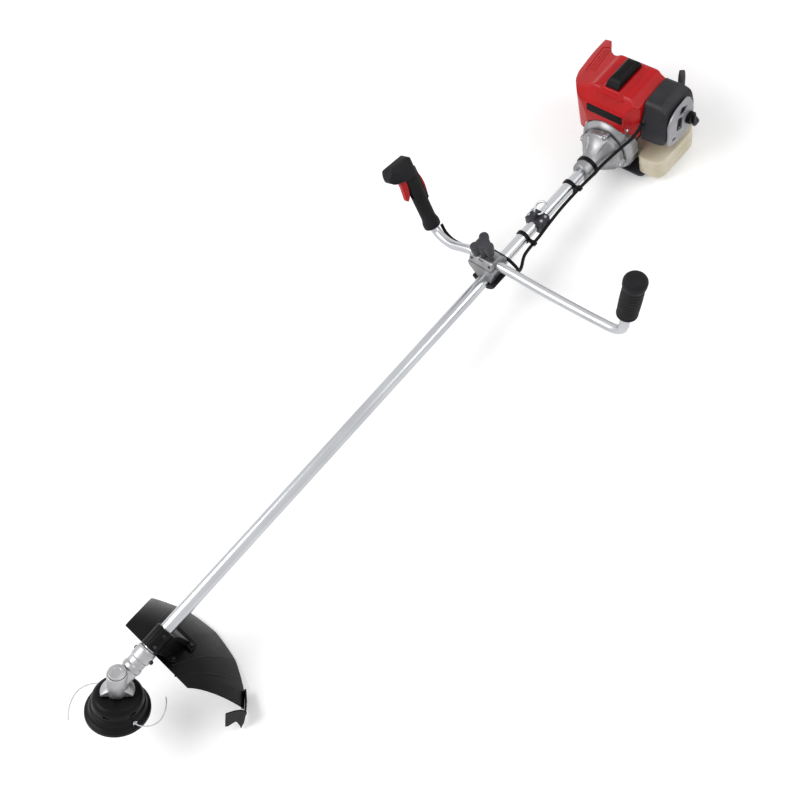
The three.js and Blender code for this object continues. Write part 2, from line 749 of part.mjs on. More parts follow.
function addThrottleHandle() {
  const grip = turnedGeometry(
    'z',
    [
      [0, 0], [18, 0], [18.5, 12], [15, 22], [handleHalfWidth, 60], [handleHalfWidth, handleLength],
      [0, handleLength],
    ],
    20,
  );
  grip.scale(handleHalfDepth / handleHalfWidth, 1, 1);
  const headTopEnd = handleLength + headBlockLength - 4;
  const visor = plate('y', [
    [headBlockBack, handleLength - 12, 6], [headBlockBack, headTopEnd, 8],
    [-headBlockFront + 8, headTopEnd - 4, 12],
    [-headBlockFront, handleLength + 3, 8], [-headBlockFront + 6, handleLength - 4, 4],
    [-14, handleLength - 10, 6],
  ], -headBlockHalfWidth, headBlockHalfWidth, 0, 3);
  const visorPlan = plate('z', [
    [headBlockBack, -15, 10], [headBlockBack, 15, 10], [-30, headBlockHalfWidth, 16],
    [-headBlockFront, 14, 12],
    [-headBlockFront, -14, 12], [-30, -headBlockHalfWidth, 16],
  ], 100, 250, 0, 3);
  const outer = join(solid(grip), visor.intersect(visorPlan));
  const bore = join(
    rod('z', barRadius + seatGap + 0.3, -1, barBoreEnd, [0, 0], 16),
    rod('z', 14, -1, 20, [0, 0], 16, barRadius + 1),
  );
  const triggerWell = box([-40, -9], [-6.6, 6.6], [86, 150]);
  const lockWell = box([9.5, 30], [-5.6, 5.6], [70, 140]);
  const switchWell = box([-12, 8], [headBlockHalfWidth - 9, 60], [handleLength + 4, handleLength + 16]);
  const shell = cut(outer, bore, triggerWell, lockWell, switchWell);
  const half = (side) => box([-90, 60], side > 0 ? [seatGap / 2, 60] : [-60, -seatGap / 2], [-20, 260]);
  piece(handleFrame, 'throttle_half_outer', 'blackPlastic', shell.intersect(half(1)));
  piece(handleFrame, 'throttle_half_inner', 'blackPlastic', shell.intersect(half(-1)));

  const trigger = plate('y', [
    [triggerPivot[0] + 1, 147, 2], [-33, 146, 3], [-30, 126, 6], [-34, 92, 3], [-30, 88, 2],
    [-22, 96, 3], [-14.5, 122, 2],
  ], -5.6, 5.6, 0, 2);
  piece(handleFrame, 'throttle_trigger', 'redPlastic', trigger);
  const lockout = plate('y', [
    [10.5, 137, 1.5], [17, 137, 2], [23, 118, 6], [25, 96, 6], [21, 73, 2], [18.5, 73, 1],
    [13.5, 100, 1],
  ], -4.8, 4.8, 0, 2);
  piece(handleFrame, 'lockout_lever', 'redPlastic', lockout);
  const switchButton = box(
    [-8, 3], [headBlockHalfWidth - 8.5, headBlockHalfWidth + 1], [handleLength + 6, handleLength + 14],
  );
  piece(handleFrame, 'stop_switch', 'redPlastic', switchButton);
}

// ---- harness hanger, clips and the loom --------------------------------------------------------

function addHanger() {
  const from = hangerX - hangerLength / 2;
  const to = hangerX + hangerLength / 2;
  const block = plate(
    'x', [[-22, -14, 4], [-22, 17, 3], [22, 17, 3], [22, -14, 4], [10, -20, 4], [-10, -20, 4]], from,
    to,
  );
  const lug = plate(
    'y', [[from + 4, 16, 0], [to - 4, 16, 0], [to - 6, 31, 5], [from + 6, 31, 5]], -lugHalf, lugHalf, 0,
    3,
  );
  const eyePlace = [hangerX, 24];
  const eyeHole = rod('y', hangerWire + 1.4, -9, 9, eyePlace, 12);
  const bore = rod('x', tubeRadius + seatGap, from - 1, to + 1, [0, 0], tubeSides);
  const split = box([from - 1, to + 1], [-30, 0], [-seatGap / 2, seatGap / 2]);
  const body = cut(join(block, lug), bore, eyeHole, split);
  piece(workingFrame, 'hanger_clamp', 'greyPlastic', body);
  const wire = new THREE.TorusGeometry(
    hangerEyeRadius, hangerWire, 6, 18,
  ).rotateY(Math.PI / 2).scale(1, 0.8, 1);
  wire.translate(0, 0, hangerEyeRadius).rotateY(radians(hangerLean));
  const eye = solid(wire.translate(hangerX, 0, eyePlace[1]));
  piece(workingFrame, 'hanger_ring', 'steel', eye);
}

const loomRoute = [
  [1570.5, -76, 80], [1566, -76, 79.5], [1556, -76, 71], [1541, -67, 53], [1527, -57, 41],
  [1505, -45, 27], [1480, -35, 15],
  [1455, -31, 9],
  [1404, -28, 9], [1346, -27, 8], [1300, -28, 5], [1262, -29, 0], [1206, -30, -6], [1180, -42, -8],
  [1164, -50, 2],
  [1160, -48, 18], [1161, -30, 28], [1161, -8, 31], [1161, 26, 30], [1158, 46, 26], [1150, 64, 22],
  [1143, 90, 20],
  [1141, 116, 22], [1144, 138, 31], [1149, 151, 44],
];

function addClipsAndLoom() {
  const room = barAlong(loomRoute, loomRadius + seatGap, 6, 42);
  const inner = tubeRadius;
  Object.entries(clipPlaces).forEach(([name, x]) => {
    const [start, end] = [x - clipWidth / 2, x + clipWidth / 2];
    const [y, z] = loomAt(x);
    const band = ring('x', inner + seatGap, inner + seatGap + clipWall, start, end, tubeSides);
    const web = boxGeometry([start, end], [inner + 1.5, Math.hypot(y, z)], [-clipWall, clipWall]);
    const bridge = solid(web.rotateX(Math.atan2(z, y)));
    const saddle = rod('x', loomRadius + clipWall, start, end, [y, z], 10);
    const clearTube = rod('x', inner + seatGap + 1, start - 1, end + 1);
    piece(
      workingFrame, name, 'blackPlastic', cut(join(band, cut(join(saddle, bridge), clearTube)), room),
    );
  });
  piece(workingFrame, 'throttle_loom', 'blackPlastic', barAlong(loomRoute, loomRadius, 6, 42));
}

// Where the loom's centre crosses the given place along the tube, as [Y, Z].
function loomAt(x) {
  for (let i = 1; i < loomRoute.length; i += 1) {
    const [a, b] = [loomRoute[i - 1], loomRoute[i]];
    if (b[0] <= x && x <= a[0]) {
      const share = (a[0] - x) / (a[0] - b[0]);
      return [a[1] + (b[1] - a[1]) * share, a[2] + (b[2] - a[2]) * share];
    }
  }
  return [0, 0];
}

// ---- clutch, crankcase and cylinder ------------------------------------------------------------

const drumBack = drumFront + drumWidth;
const shoeFront = drumFront + 4;

function addClutch() {
  const outer = [
    [tubeRadius + seatGap, neckX], [neckRadius - 2, neckX], [neckRadius, neckX + 6],
    [neckRadius, neckX + 34], [33, neckX + 54],
    [clutchFlangeRadius - 6, drumFront - 4], [clutchFlangeRadius, drumFront + 2],
    [clutchFlangeRadius, clutchFlangeX + 4],
  ];
  const inner = [
    [drumRadius + 5, clutchFlangeX + 4], [drumRadius + 2, drumFront - 3],
    [shaftRadius + 4, drumFront - 3],
    [shaftRadius + 4, tubeRear + seatGap], [tubeRadius + seatGap, tubeRear + seatGap],
  ];
  const housing = turned('x', [...outer, ...inner], tubeSides);
  const sideBoss = rod('x', 7, clutchFlangeX - 10, clutchFlangeX + 4, [clutchFlangeRadius, 11], 10);
  const lowBoss = rod(
    'x', 7, clutchFlangeX - 10, clutchFlangeX + 4, [-clutchFlangeRadius + 2, -20], 10,
  );
  piece(workingFrame, 'clutch_housing', 'casting', join(housing, sideBoss, lowBoss));

  const drum = turned('x', [
    [shaftRadius + seatGap, drumFront - 2], [9, drumFront - 2], [9, drumFront], [drumRadius, drumFront],
    [drumRadius, drumBack],
    [drumRadius - 2.5, drumBack], [drumRadius - 2.5, drumFront + 2.5],
    [shaftRadius + seatGap, drumFront + 2.5],
  ]);
  piece(workingFrame, 'clutch_drum', 'ironDark', drum);

  const shoeRing = ring('x', 8 + seatGap, drumRadius - 4, shoeFront, shoeFront + 10);
  const slots = [[14, 60], [-60, -14]].map((reach) => box(
    [shoeFront - 1, shoeFront + 12], reach, [-4, 4],
  ));
  piece(workingFrame, 'clutch_shoes', 'ironDark', cut(shoeRing, ...slots));
}

const crankThrow = stroke / 2;
const crankPinRadius = 5;

function addCrankcase() {
  const fanCase = turned('x', [
    [0, fanCaseFront + 3], [clutchFlangeRadius + 2, fanCaseFront], [fanCaseRadius - 10, fanCaseFront],
    [fanCaseRadius, fanCaseFront + 8],
    [fanCaseRadius, fanCaseRear], [0, fanCaseRear],
  ], 18);
  const fanHollow = turned('x', [
    [0, fanCaseFront - 5], [drumRadius + 5, fanCaseFront - 5],
    [drumRadius + 5, fanCaseFront + castingWall],
    [flywheelRadius + 2.5, fanCaseFront + 10], [flywheelRadius + 2.5, fanCaseRear - castingWall],
    [0, fanCaseRear - castingWall],
  ], 18);
  const underside = box([fanCaseFront - 10, crankRear], [-200, 200], [-200, -tankBottom]);
  const crankHousing = rod('x', crankcaseRadius, fanCaseRear - 1, crankRear, [0, 0], 16);
  const crankHollow = rod(
    'x', crankcaseRadius - crankWall, fanCaseRear + crankWall, crankRear - crankWall,
  );
  const neck = rod('z', boreRadius + 8, 10, cylinderFoot, [cylinderX, 0]);
  const mouth = rod('z', boreRadius + 2, 0, cylinderFoot + 1, [cylinderX, 0]);
  const shaftBore = rod('x', 8 + seatGap, fanCaseFront - 10, crankRear + 5, [0, 0], 16);
  const mounts = [-1, 1].map((side) => box(
    [fanCaseRear + 8, fanCaseRear + 20], [side * 30 - 5, side * 30 + 5], [-tankBottom, -20],
  ));
  piece(
    workingFrame, 'crankcase', 'casting',
    cut(
      join(fanCase, crankHousing, neck, ...mounts), fanHollow, crankHollow, mouth, shaftBore, underside,
    ),
  );

  const webX = [cylinderX - 14, cylinderX + 6];
  const webs = webX.map((x) => rod('x', 30, x, x + 8));
  const shafts = [
    rod('x', 8, shoeFront - 1, webX[0] + 1, [0, 0], 14),
    rod('x', 8, webX[1] + 7, starterFront + 14, [0, 0], 14),
    rod('x', crankPinRadius, webX[0] + 7, webX[1] + 1, [0, crankThrow], 12),
  ];
  piece(workingFrame, 'crankshaft', 'steel', join(...webs, ...shafts));

  const fins = [];
  for (let i = 0; i < bladeCount; i += 1) {
    const blade = boxGeometry(
      [fanCaseFront + 12, fanCaseFront + 22], [30, flywheelRadius - 2], [-1.4, 1.4],
    );
    fins.push(solid(blade.rotateX((2 * Math.PI * i) / bladeCount)));
  }
  const flyBack = fanCaseFront + 12 + flywheelWidth - 6;
  const disc = ring('x', 8 + seatGap, flywheelRadius, flyBack - 4, flyBack + 4);
  const hub = ring('x', 8 + seatGap, 24, fanCaseFront + 8, flyBack, 16);
  piece(workingFrame, 'flywheel', 'casting', join(disc, hub, ...fins));
}

const cylinderFoot = crankcaseRadius + 4;
const rodLength = 58;
const pistonPin = crankThrow + rodLength;
const pistonTop = pistonPin + 16;

function addCylinder() {
  const fins = [];
  const pitch = (cylinderTop - cylinderFoot - 22) / finCount;
  for (let i = 0; i < finCount; i += 1) {
    const foot = cylinderFoot + 14 + pitch * i;
    fins.push(box([cylinderX - 38, cylinderX + 42], [-finReach, finReach], [foot, foot + 2]));
  }
  const barrel = rod('z', boreRadius + 6, cylinderFoot + seatGap, cylinderTop, [cylinderX, 0]);
  const bore = rod('z', boreRadius + 0.3, cylinderFoot, pistonTop + 7, [cylinderX, 0]);
  const plugBore = rod('z', 5 + seatGap, pistonTop, cylinderTop + 1, [cylinderX, 0], 12);
  const intake = box([cylinderX - 12, cylinderX + 12], [-finReach - 6, -boreRadius], [54, 78]);
  const exhaust = box([cylinderX - 14, cylinderX + 14], [boreRadius, finReach + 6], [54, 82]);
  const ports = [
    rod('y', 8, -finReach - 8, -boreRadius + 4, [cylinderX, 66], 10),
    rod('y', 9, boreRadius - 4, finReach + 8, [cylinderX, 68], 10),
  ];
  piece(
    workingFrame, 'cylinder', 'casting',
    cut(join(barrel, intake, exhaust, ...fins), bore, plugBore, ...ports),
  );

  const piston = cut(
    rod('z', boreRadius - 0.3, pistonPin - 14, pistonTop, [cylinderX, 0], 16),
    rod('z', boreRadius - 3, pistonPin - 15, pistonTop - 4, [cylinderX, 0], 14),
  );
  const wristPin = rod(
    'x', 4, cylinderX - boreRadius + 2, cylinderX + boreRadius - 2, [0, pistonPin], 12,
  );
  piece(workingFrame, 'piston', 'steel', join(piston, wristPin));
  const bigEnd = rod('x', 9, cylinderX - 4, cylinderX + 4, [0, crankThrow], 12);
  const smallEnd = rod('x', 7, cylinderX - 4, cylinderX + 4, [0, pistonPin], 12);
  const beam = box([cylinderX - 3, cylinderX + 3], [-4, 4], [crankThrow, pistonPin]);
  const holes = [
    rod('x', crankPinRadius + seatGap, cylinderX - 9, cylinderX + 9, [0, crankThrow], 12),
    rod('x', 4 + seatGap, cylinderX - 9, cylinderX + 9, [0, pistonPin], 12),
  ];
  piece(workingFrame, 'connecting_rod', 'steel', cut(join(bigEnd, smallEnd, beam), ...holes));

  const plug = turned('z', [
    [0, pistonTop + 8], [5, pistonTop + 8], [5, cylinderTop + seatGap], [9, cylinderTop + seatGap],
    [9, cylinderTop + 7],
    [5.5, cylinderTop + 8], [4.5, plugTop - 5], [2.5, plugTop - 4], [2.5, plugTop], [0, plugTop],
  ], 12);
  const moved = solid(geometryOf(plug).translate(cylinderX, 0, 0));
  piece(workingFrame, 'spark_plug', 'steel', moved);
}

// ---- shroud, plug cover and muffler ------------------------------------------------------------

// The shroud's form is the overlap of its outlines from behind, from the side and from above.
function shroudForm(inset) {
  const rearView = [
    [-cleanerInnerY + inset, 119 - inset], [-52, 131 - inset], [-46, shroudTop - inset],
    [46, shroudTop - inset], [54, 131 - inset],
    [102, 117 - inset], [126 - inset, 107 - inset], [wingReachY - 1 - inset, 96],
    [wingReachY - 7 - inset, 48 + inset],
    [113 - inset, 45 + inset], [111 - inset, -11 + inset], [60, -25 + inset], [46, -25 + inset],
    [46, -60], [-46, -60],
    [-48, 16], [-70 + inset, 41],
  ];
  const sideView = [
    [shroudFrontX + inset, -80], [shroudFrontX + inset, 62], [shroudFrontX + 8 + inset, 96 - inset],
    [shroudFrontX + 32, shroudTop - inset + 0.2],
    [shroudRearX - 4, shroudTop - inset + 0.2], [wingReachX - 10, 122 - inset],
    [wingReachX - inset, 100 - inset], [wingReachX - inset, 30],
    [shroudRearX + 12, -80],
  ];
  const topView = [
    [shroudFrontX + 28 + inset, -cleanerInnerY - 1], [shroudFrontX + 8 + inset, -50],
    [shroudFrontX + inset, -10], [shroudFrontX - 2 + inset, 50],
    [shroudFrontX + 8 + inset, 80 - inset], [shroudFrontX + 38, 106 - inset],
    [shroudFrontX + 62, 117 - inset], [wingReachX + 8, wingReachY + 1 - inset],
    [wingReachX - 4, 106], [shroudRearX + 12, 86], [shroudRearX - inset, 70],
    [shroudRearX - inset, -cleanerInnerY - 1],
  ];
  const tall = plate('x', rearView, engineFore, engineAft, 6, 1);
  const long = plate('y', sideView, -engineSide, engineSide, 5, 1);
  const wide = plate('z', topView, -engineDeep, engineSide, 6, 1);
  return tall.intersect(long).intersect(wide);
}

const grilleSlots = 7;
const muffler = { front: cylinderX - 22, rear: cylinderX + 42, inner: 56, outer: 100, foot: 36, top: 104 };

function addShroud() {
  const outer = shroudForm(0);
  const inner = shroudForm(shroudWall);
  const hollow = join(inner, box([shroudFrontX + 18, shroudRearX - 12], [-60, 100], [-90, 10]));
  const shell = cut(outer, hollow);
  const openings = [
    // the belly, so that the shroud drops over the cylinder and the fan case
    box([engineFore, engineAft], [-engineSide, engineSide], [-engineDeep, -30]),
    rod('x', fanCaseRadius + 1, engineFore, fanCaseRear + 2, [0, 0], 20),
    box([engineFore, fanCaseRear + 2], [-engineSide, engineSide], [-engineDeep, 14]),
    // clearance for the starter at the rear
    box(
      [starterFront - 3, engineAft], [-starterHalfWidth - 1, starterHalfWidth + 1],
      [-engineDeep, starterTop + 1],
    ),
    // carburettor side, and the cable's way to it
    box([cylinderX - 22, cylinderX + 54], [-90, -60], [22, 106]),
    rod('x', 6, shroudFrontX - 2, shroudFrontX + 48, [-76, 80], 12),
    // mouth of the heat shield behind the muffler
    box([shroudRearX + 4, engineAft], [62, wingReachY - shroudWall - 5], [50, 100]),
    // plug opening
    box([cylinderX - 24, cylinderX + 36], [-13, 13], [120, 150]),
    // long slot under the top
    box([shroudRearX - 18, engineAft], [-36, 36], [121, 127]),
  ];
  for (let i = 0; i < grilleSlots; i += 1) {
    const foot = 50 + 8 * i;
    openings.push(box([shroudRearX - 18, engineAft], [-44, -1], [foot, foot + 4.6]));
    openings.push(box([shroudRearX - 18, engineAft], [1, 44], [foot, foot + 4.6]));
  }
  for (let i = 0; i < 6; i += 1) {
    const foot = -1 + 7.6 * i;
    openings.push(box([shroudRearX - 18, engineAft], [66, 104], [foot, foot + 3.6]));
  }
  const form = cut(shell, ...openings);
  const parts = form.decompose().sort((a, b) => b.volume() - a.volume());
  piece(workingFrame, 'engine_shroud', 'redPlastic', parts[0]);

  const coverFront = cylinderX - 34;
  const cover = plate('x', [
    [-plugCoverWidth / 2, 0], [plugCoverWidth / 2, 0], [plugCoverWidth / 2 - 2, 15, 8],
    [-plugCoverWidth / 2 + 2, 15, 8],
  ]
    .map(([y, z, r]) => [y, z + plugCoverTop - 15, r]), coverFront, coverFront + plugCoverLength, 0, 3);
  const coverSide = plate('y', [
    [coverFront, plugCoverTop - 26], [coverFront + 10, plugCoverTop - 4, 6],
    [coverFront + 30, plugCoverTop, 6],
    [coverFront + plugCoverLength - 8, plugCoverTop, 6],
    [coverFront + plugCoverLength, plugCoverTop - 16, 4],
    [coverFront + plugCoverLength, plugCoverTop - 40],
  ], -40, 40, 0, 3);
  const seat = shroudTop + 0.5 + seatGap;
  const under = box([engineFore, engineAft], [-60, 60], [0, seat]);
  const skirt = plate('x', [
    [-plugCoverWidth / 2 - 2, seat - 2], [plugCoverWidth / 2 + 2, seat - 2],
    [plugCoverWidth / 2, plugCoverTop - 14], [-plugCoverWidth / 2, plugCoverTop - 14],
  ],
    coverFront, coverFront + plugCoverLength);
  const plugRoom = rod('z', 10, 100, plugTop + 1, [cylinderX, 0], 16);
  piece(
    workingFrame, 'plug_cover', 'blackPlastic',
    cut(join(cover, skirt).intersect(coverSide), under, plugRoom),
  );

  const can = plate('x', [
    [muffler.inner, muffler.foot, 8], [muffler.outer, muffler.foot + 6, 10],
    [muffler.outer, muffler.top - 6, 10], [muffler.inner, muffler.top, 8],
  ],
    muffler.front, muffler.rear);
  const canHollow = plate('x', [
    [muffler.inner + 2, muffler.foot + 2], [muffler.outer - 2, muffler.foot + 8],
    [muffler.outer - 2, muffler.top - 8], [muffler.inner + 2, muffler.top - 2],
  ],
    muffler.front + 2, muffler.rear - 2);
  const inlet = rod('y', 8, muffler.inner - 1, muffler.inner + 5, [cylinderX, 68], 12);
  const outlet = rod('x', 6, muffler.rear - 5, muffler.rear + 3, [88, 84], 12);
  const flange = cut(
    box([cylinderX - 16, cylinderX + 16], [finReach + 6 + seatGap, muffler.inner + 1], [54, 82]),
    rod('y', 8, 40, 60, [cylinderX, 68], 12),
  );
  piece(workingFrame, 'muffler', 'steel', cut(join(can, flange), canHollow, inlet, outlet));
}

// ---- carburettor and air cleaner ---------------------------------------------------------------

function addIntake() {
  const insulator = box([cylinderX - 12, cylinderX + 12], [-62, -finReach - 6 - seatGap], [54, 78]);
  const throat = rod('y', 7, -110, -40, [cylinderX, 66], 10);
  const body = box([cylinderX - 17, cylinderX + 17], [-86, -62], [46, 86]);
  const cableStop = rod('x', 4, cylinderX - 34, cylinderX - 16, [-76, 80], 10);
  piece(workingFrame, 'carburettor', 'casting', cut(join(insulator, body, cableStop), throat));

  const baseFace = -86 - seatGap;
  const baseBottom = cleanerBottom + 3;
  const baseTop = cleanerTop - 8;
  const outline = [
    [cleanerFront, baseBottom], [cleanerRear, baseBottom], [cleanerRear, baseTop],
    [cleanerFront, baseTop],
  ];
  const base = cut(plate('y', outline, baseFace - 4, baseFace, 8), throat);
  piece(workingFrame, 'air_filter_base', 'blackPlastic', base);
  const element = plate(
    'y',
    [[cleanerFront + 8, 44], [cleanerRear - 8, 44], [cleanerRear - 8, 112], [cleanerFront + 8, 112]],
    baseFace - 26, baseFace - 4 - seatGap, 6,
  );
  piece(
    workingFrame, 'air_filter_element', 'felt',
    cut(element, throat, rod('y', 4, -140, -80, cleanerBolt, 10)),
  );
  const lever = join(
    rod('x', 3, cleanerRear + 1.4, cleanerRear + 9, [-80, 44], 10),
    box([cleanerRear + 3, cleanerRear + 8], [-84, -62], [41, 47]),
  );
  piece(workingFrame, 'choke_lever', 'redPlastic', lever);

  const outer = cleanerShape(0);
  const inner = cleanerShape(cleanerWall);
  const backCut = box([engineFore, engineAft], [-cleanerInnerY - 2, 0], [-50, engineSide]);
  const cableWay = rod('x', 6, shroudFrontX - 2, cleanerFront + 18, [-76, 80], 12);
  const innerCut = join(
    inner,
    box(
      [cleanerFront + 6, cleanerRear - cleanerWall - 4], [-92, -60],
      [cleanerBottom + 5, cleanerTop - 8],
    ),
  );
  const boss = rod('y', 5, -cleanerOuterY + 1, baseFace - 4 - 26 - 1, cleanerBolt, 10);
  const seatRoom = box(
    [cleanerFront - 1, cleanerRear + 1], [baseFace - 4 - seatGap, -60],
    [baseBottom - 1, baseTop + 1],
  );
  const shell = cut(
    join(cut(outer, innerCut), boss), backCut, cableWay, seatRoom,
    rod('y', 2.6, -150, -80, cleanerBolt, 10),
  );
  piece(workingFrame, 'air_cleaner_cover', 'blackPlastic', shell);
  const side = -cleanerOuterY - seatGap;
  const trim = plate('y', [
    [cleanerFront - 8, 38, 8], [cleanerFront - 4, 98, 14], [cleanerFront + 22, 116, 10],
    [cleanerRear - 18, 120, 10],
    [cleanerRear - 2, 84, 12], [cleanerRear - 8, 36, 8], [cleanerRear - 28, 27, 8],
    [cleanerFront + 12, 27, 8],
  ], side - 4, side, 0, 3);
  const windows = [
    plate(
      'y',
      [
        [cleanerFront + 22, 56], [cleanerFront + 40, 50], [cleanerFront + 43, 82],
        [cleanerFront + 26, 88],
      ],
      side - 9, side + 1, 4,
    ),
    plate(
      'y',
      [
        [cleanerFront + 34, 92], [cleanerFront + 52, 86], [cleanerFront + 60, 100],
        [cleanerFront + 40, 108],
      ],
      side - 9, side + 1, 4,
    ),
  ];
  const knobHole = rod('y', 12, -engineSide, -100, cleanerBolt, 14);
  piece(workingFrame, 'cleaner_trim', 'palePlastic', cut(trim, ...windows, knobHole));
  const knob = join(
    rod('y', 14, side - 15, side - 4.5, cleanerBolt, 18, 12.5),
    rod('y', 9, side - 5, side, cleanerBolt, 12),
    box([cleanerBolt[0] - 2, cleanerBolt[0] + 2], [side - 19, side - 14], [48, 72]),
    rod('y', 2.2, side - 1, -92, cleanerBolt, 10),
  );
  piece(workingFrame, 'air_cleaner_knob', 'blackPlastic', knob);
}

function cleanerShape(inset) {
  const side = [
    [cleanerFront - 14 + inset, cleanerBottom + inset],
    [cleanerRear - 6 - inset, cleanerBottom + inset], [cleanerRear + 6 - inset, cleanerBottom + 30],
    [cleanerRear + 4 - inset, 118], [cleanerRear - 6, cleanerTop - inset],
    [cleanerFront + 4 + inset, cleanerTop - 4 - inset],
    [cleanerFront - 14 + inset, 60],
  ];
  const rear = [
    [-60, cleanerTop - inset], [-100, cleanerTop - inset, 8], [-cleanerOuterY + 4 + inset, 112, 12],
    [-cleanerOuterY + inset, 80, 8],
    [-cleanerOuterY + 4 + inset, cleanerBottom + inset, 6], [-60, cleanerBottom + inset],
  ];
  return plate('y', side, -cleanerOuterY, -60, 5).intersect(plate('x', rear, engineFore, engineAft, 0));
}

// ---- recoil starter ----------------------------------------------------------------------------

const ropeAim = new THREE.Vector3(0.62, -0.42, 0.66).normalize();

function addStarter() {
  const rear = starterFront + starterDepth;
  const outline = [
    [-starterHalfWidth, -starterBottom, 8], [starterHalfWidth, -starterBottom, 8],
    [starterHalfWidth, 20, 10], [starterHalfWidth - 10, 30, 8],
    [20, starterTop, 16], [-20, starterTop, 16], [-starterHalfWidth + 10, 30, 8],
    [-starterHalfWidth, 20, 10],
  ];
  const outer = plate('x', outline, starterFront, rear, 0, 2);
  const side = plate('y', [
    [starterFront - 1, -60], [starterFront - 1, 60], [rear - 16, 60, 0], [rear - 3, 10, 20],
    [rear, -20, 12], [rear - 6, -60, 0],
  ], -80, 80, 0, 2);
  const hollow = rod('x', pulleyRadius + 7, starterFront - 1, rear - 18, [0, -1]);
  const vents = [-1, 1].map((s) => box([rear - 30, rear + 1], [s * 30 - 7, s * 30 + 7], [-44, -38]));
  const ropeHole = tubeAlong(ropeExit, ropeAim, ropeRadius + 1, -70, 30, 10);
  const post = rod('x', pulleyHub - runGap, starterFront + 17, rear - 17);
  const shell = cut(outer.intersect(side), hollow, ...vents, ropeHole);
  piece(workingFrame, 'starter_cover', 'greyPlastic', join(shell, post));

  const drum = turned('x', [
    [pulleyHub, starterFront + 18], [pulleyRadius + 4, starterFront + 18],
    [pulleyRadius + 4, starterFront + 20], [pulleyRadius, starterFront + 21],
    [pulleyRadius, starterFront + 25], [pulleyRadius + 4, starterFront + 26],
    [pulleyRadius + 4, starterFront + 28], [pulleyHub, starterFront + 28],
  ], 18);
  piece(workingFrame, 'starter_pulley', 'greyPlastic', drum);

  const grip = new THREE.CapsuleGeometry(7.5, 52, 3, 10).rotateX(Math.PI / 2);
  grip.applyMatrix4(basisAlong(new THREE.Vector3(
    0.62, 0.36, 0.7,
  ))).translate(...new THREE.Vector3(...ropeExit).addScaledVector(ropeAim, 44).toArray());
  const stem = tubeAlong(ropeExit, ropeAim, 6, 3, 44, 10, 9);
  const rope = tubeAlong(ropeExit, ropeAim, ropeRadius, -30, 6, 8);
  piece(workingFrame, 'pull_handle', 'blackPlastic', join(solid(grip), stem, rope));
}

function basisAlong(direction) {
  const quaternion = new THREE.Quaternion().setFromUnitVectors(
    new THREE.Vector3(0, 0, 1), direction.clone().normalize(),
  );
  return new THREE.Matrix4().makeRotationFromQuaternion(quaternion);
}

function tubeAlong(start, direction, radius, from, to, sides, endRadius = radius) {
  const geometry = rodGeometry('z', radius, from, to, [0, 0], sides, endRadius);
  return solid(geometry.applyMatrix4(basisAlong(direction)).translate(...start));
}

// ---- fuel tank and stand -----------------------------------------------------------------------

const capAim = new THREE.Vector3(0.86, -0.3, 0.4).normalize();

function addTank() {
  const rear = tankFront + tankLength;
  const plan = [
    [tankFront, -tankLeft, 34], [rear, -tankLeft, 20], [rear, -starterHalfWidth - 8, 6],
    [starterFront - 4, -starterHalfWidth - 8, 2],
    [starterFront - 4, tankRight, 16], [tankMiddleFront, tankRight, 20], [tankMiddleFront, -66, 8],
    [tankFront, -72, 8],
  ];
  const body = plate('z', plan, -tankBottom, -tankTop, 0, 4);
  const neck = tubeAlong(capPlace, capAim, 16, -30, -2, 14);
  const saddle = rod('x', crankcaseRadius + 2, tankFront - 5, crankRear + 40, [0, 0], 20);
  const fanRoom = rod('x', fanCaseRadius + 2, tankFront - 5, fanCaseRear + 2, [0, 0], 20);
  const mountRoom = [-1, 1].map((side) => box(
    [fanCaseRear + 6, fanCaseRear + 22], [side * 30 - 7, side * 30 + 7], [-tankBottom - 1, 0],
  ));
  const outer = cut(join(body, neck), saddle, fanRoom, ...mountRoom);
  const wall = 2;
  const innerPlan = [
    [tankFront + 24, -tankLeft + wall, 30], [rear - wall, -tankLeft + wall, 18],
    [rear - wall, -starterHalfWidth - 8 - wall, 4],
    [tankFront + 24, -starterHalfWidth - 8 - wall, 4],
  ];
  const inner = plate('z', innerPlan, -tankBottom + wall, -tankTop - wall, 0, 3);
  const filler = tubeAlong(capPlace, capAim, 12, -34, 2, 12);
  piece(workingFrame, 'fuel_tank', 'tankPlastic', cut(outer, cut(inner, fanRoom, saddle), filler));

  const flutes = [];
  const capSolid = tubeAlong(capPlace, capAim, fuelCapRadius, -2 + seatGap, fuelCapDepth, 18);
  for (let i = 0; i < 6; i += 1) {
    const turn = radians(60 * i);
    const flute = rodGeometry(
      'z', 4, -10, fuelCapDepth + 1,
      [(fuelCapRadius + 1.5) * Math.cos(turn), (fuelCapRadius + 1.5) * Math.sin(turn)], 8,
    );
    flutes.push(solid(flute.applyMatrix4(basisAlong(capAim)).translate(...capPlace)));
  }
  const plugStem = tubeAlong(capPlace, capAim, 10, -14, 0, 10);
  piece(workingFrame, 'fuel_cap', 'blackPlastic', join(cut(capSolid, ...flutes), plugStem));
}

// The ground under the resting machine: a plane through the guard's lowest point and the stand.
function restingPlane() {
  guardFrame.updateMatrixWorld(true);
  const points = [];
  guardHeadFrame.children.forEach((mesh) => {
    const place = mesh.geometry.attributes.position;
    const toTube = new THREE.Matrix4().copy(workingFrame.matrixWorld).invert().multiply(mesh.matrixWorld);
    for (let i = 0; i < place.count; i += 1) {
      points.push(new THREE.Vector3().fromBufferAttribute(place, i).applyMatrix4(toTube));
    }
  });
  const slopeTo = (p) => (-standHeight - p.z) / (cylinderX - p.x);
  const lowest = points.reduce((best, p) => (slopeTo(p) > slopeTo(best) ? p : best));
  return { slope: slopeTo(lowest), at: (x) => -standHeight + slopeTo(lowest) * (x - cylinderX) };
}

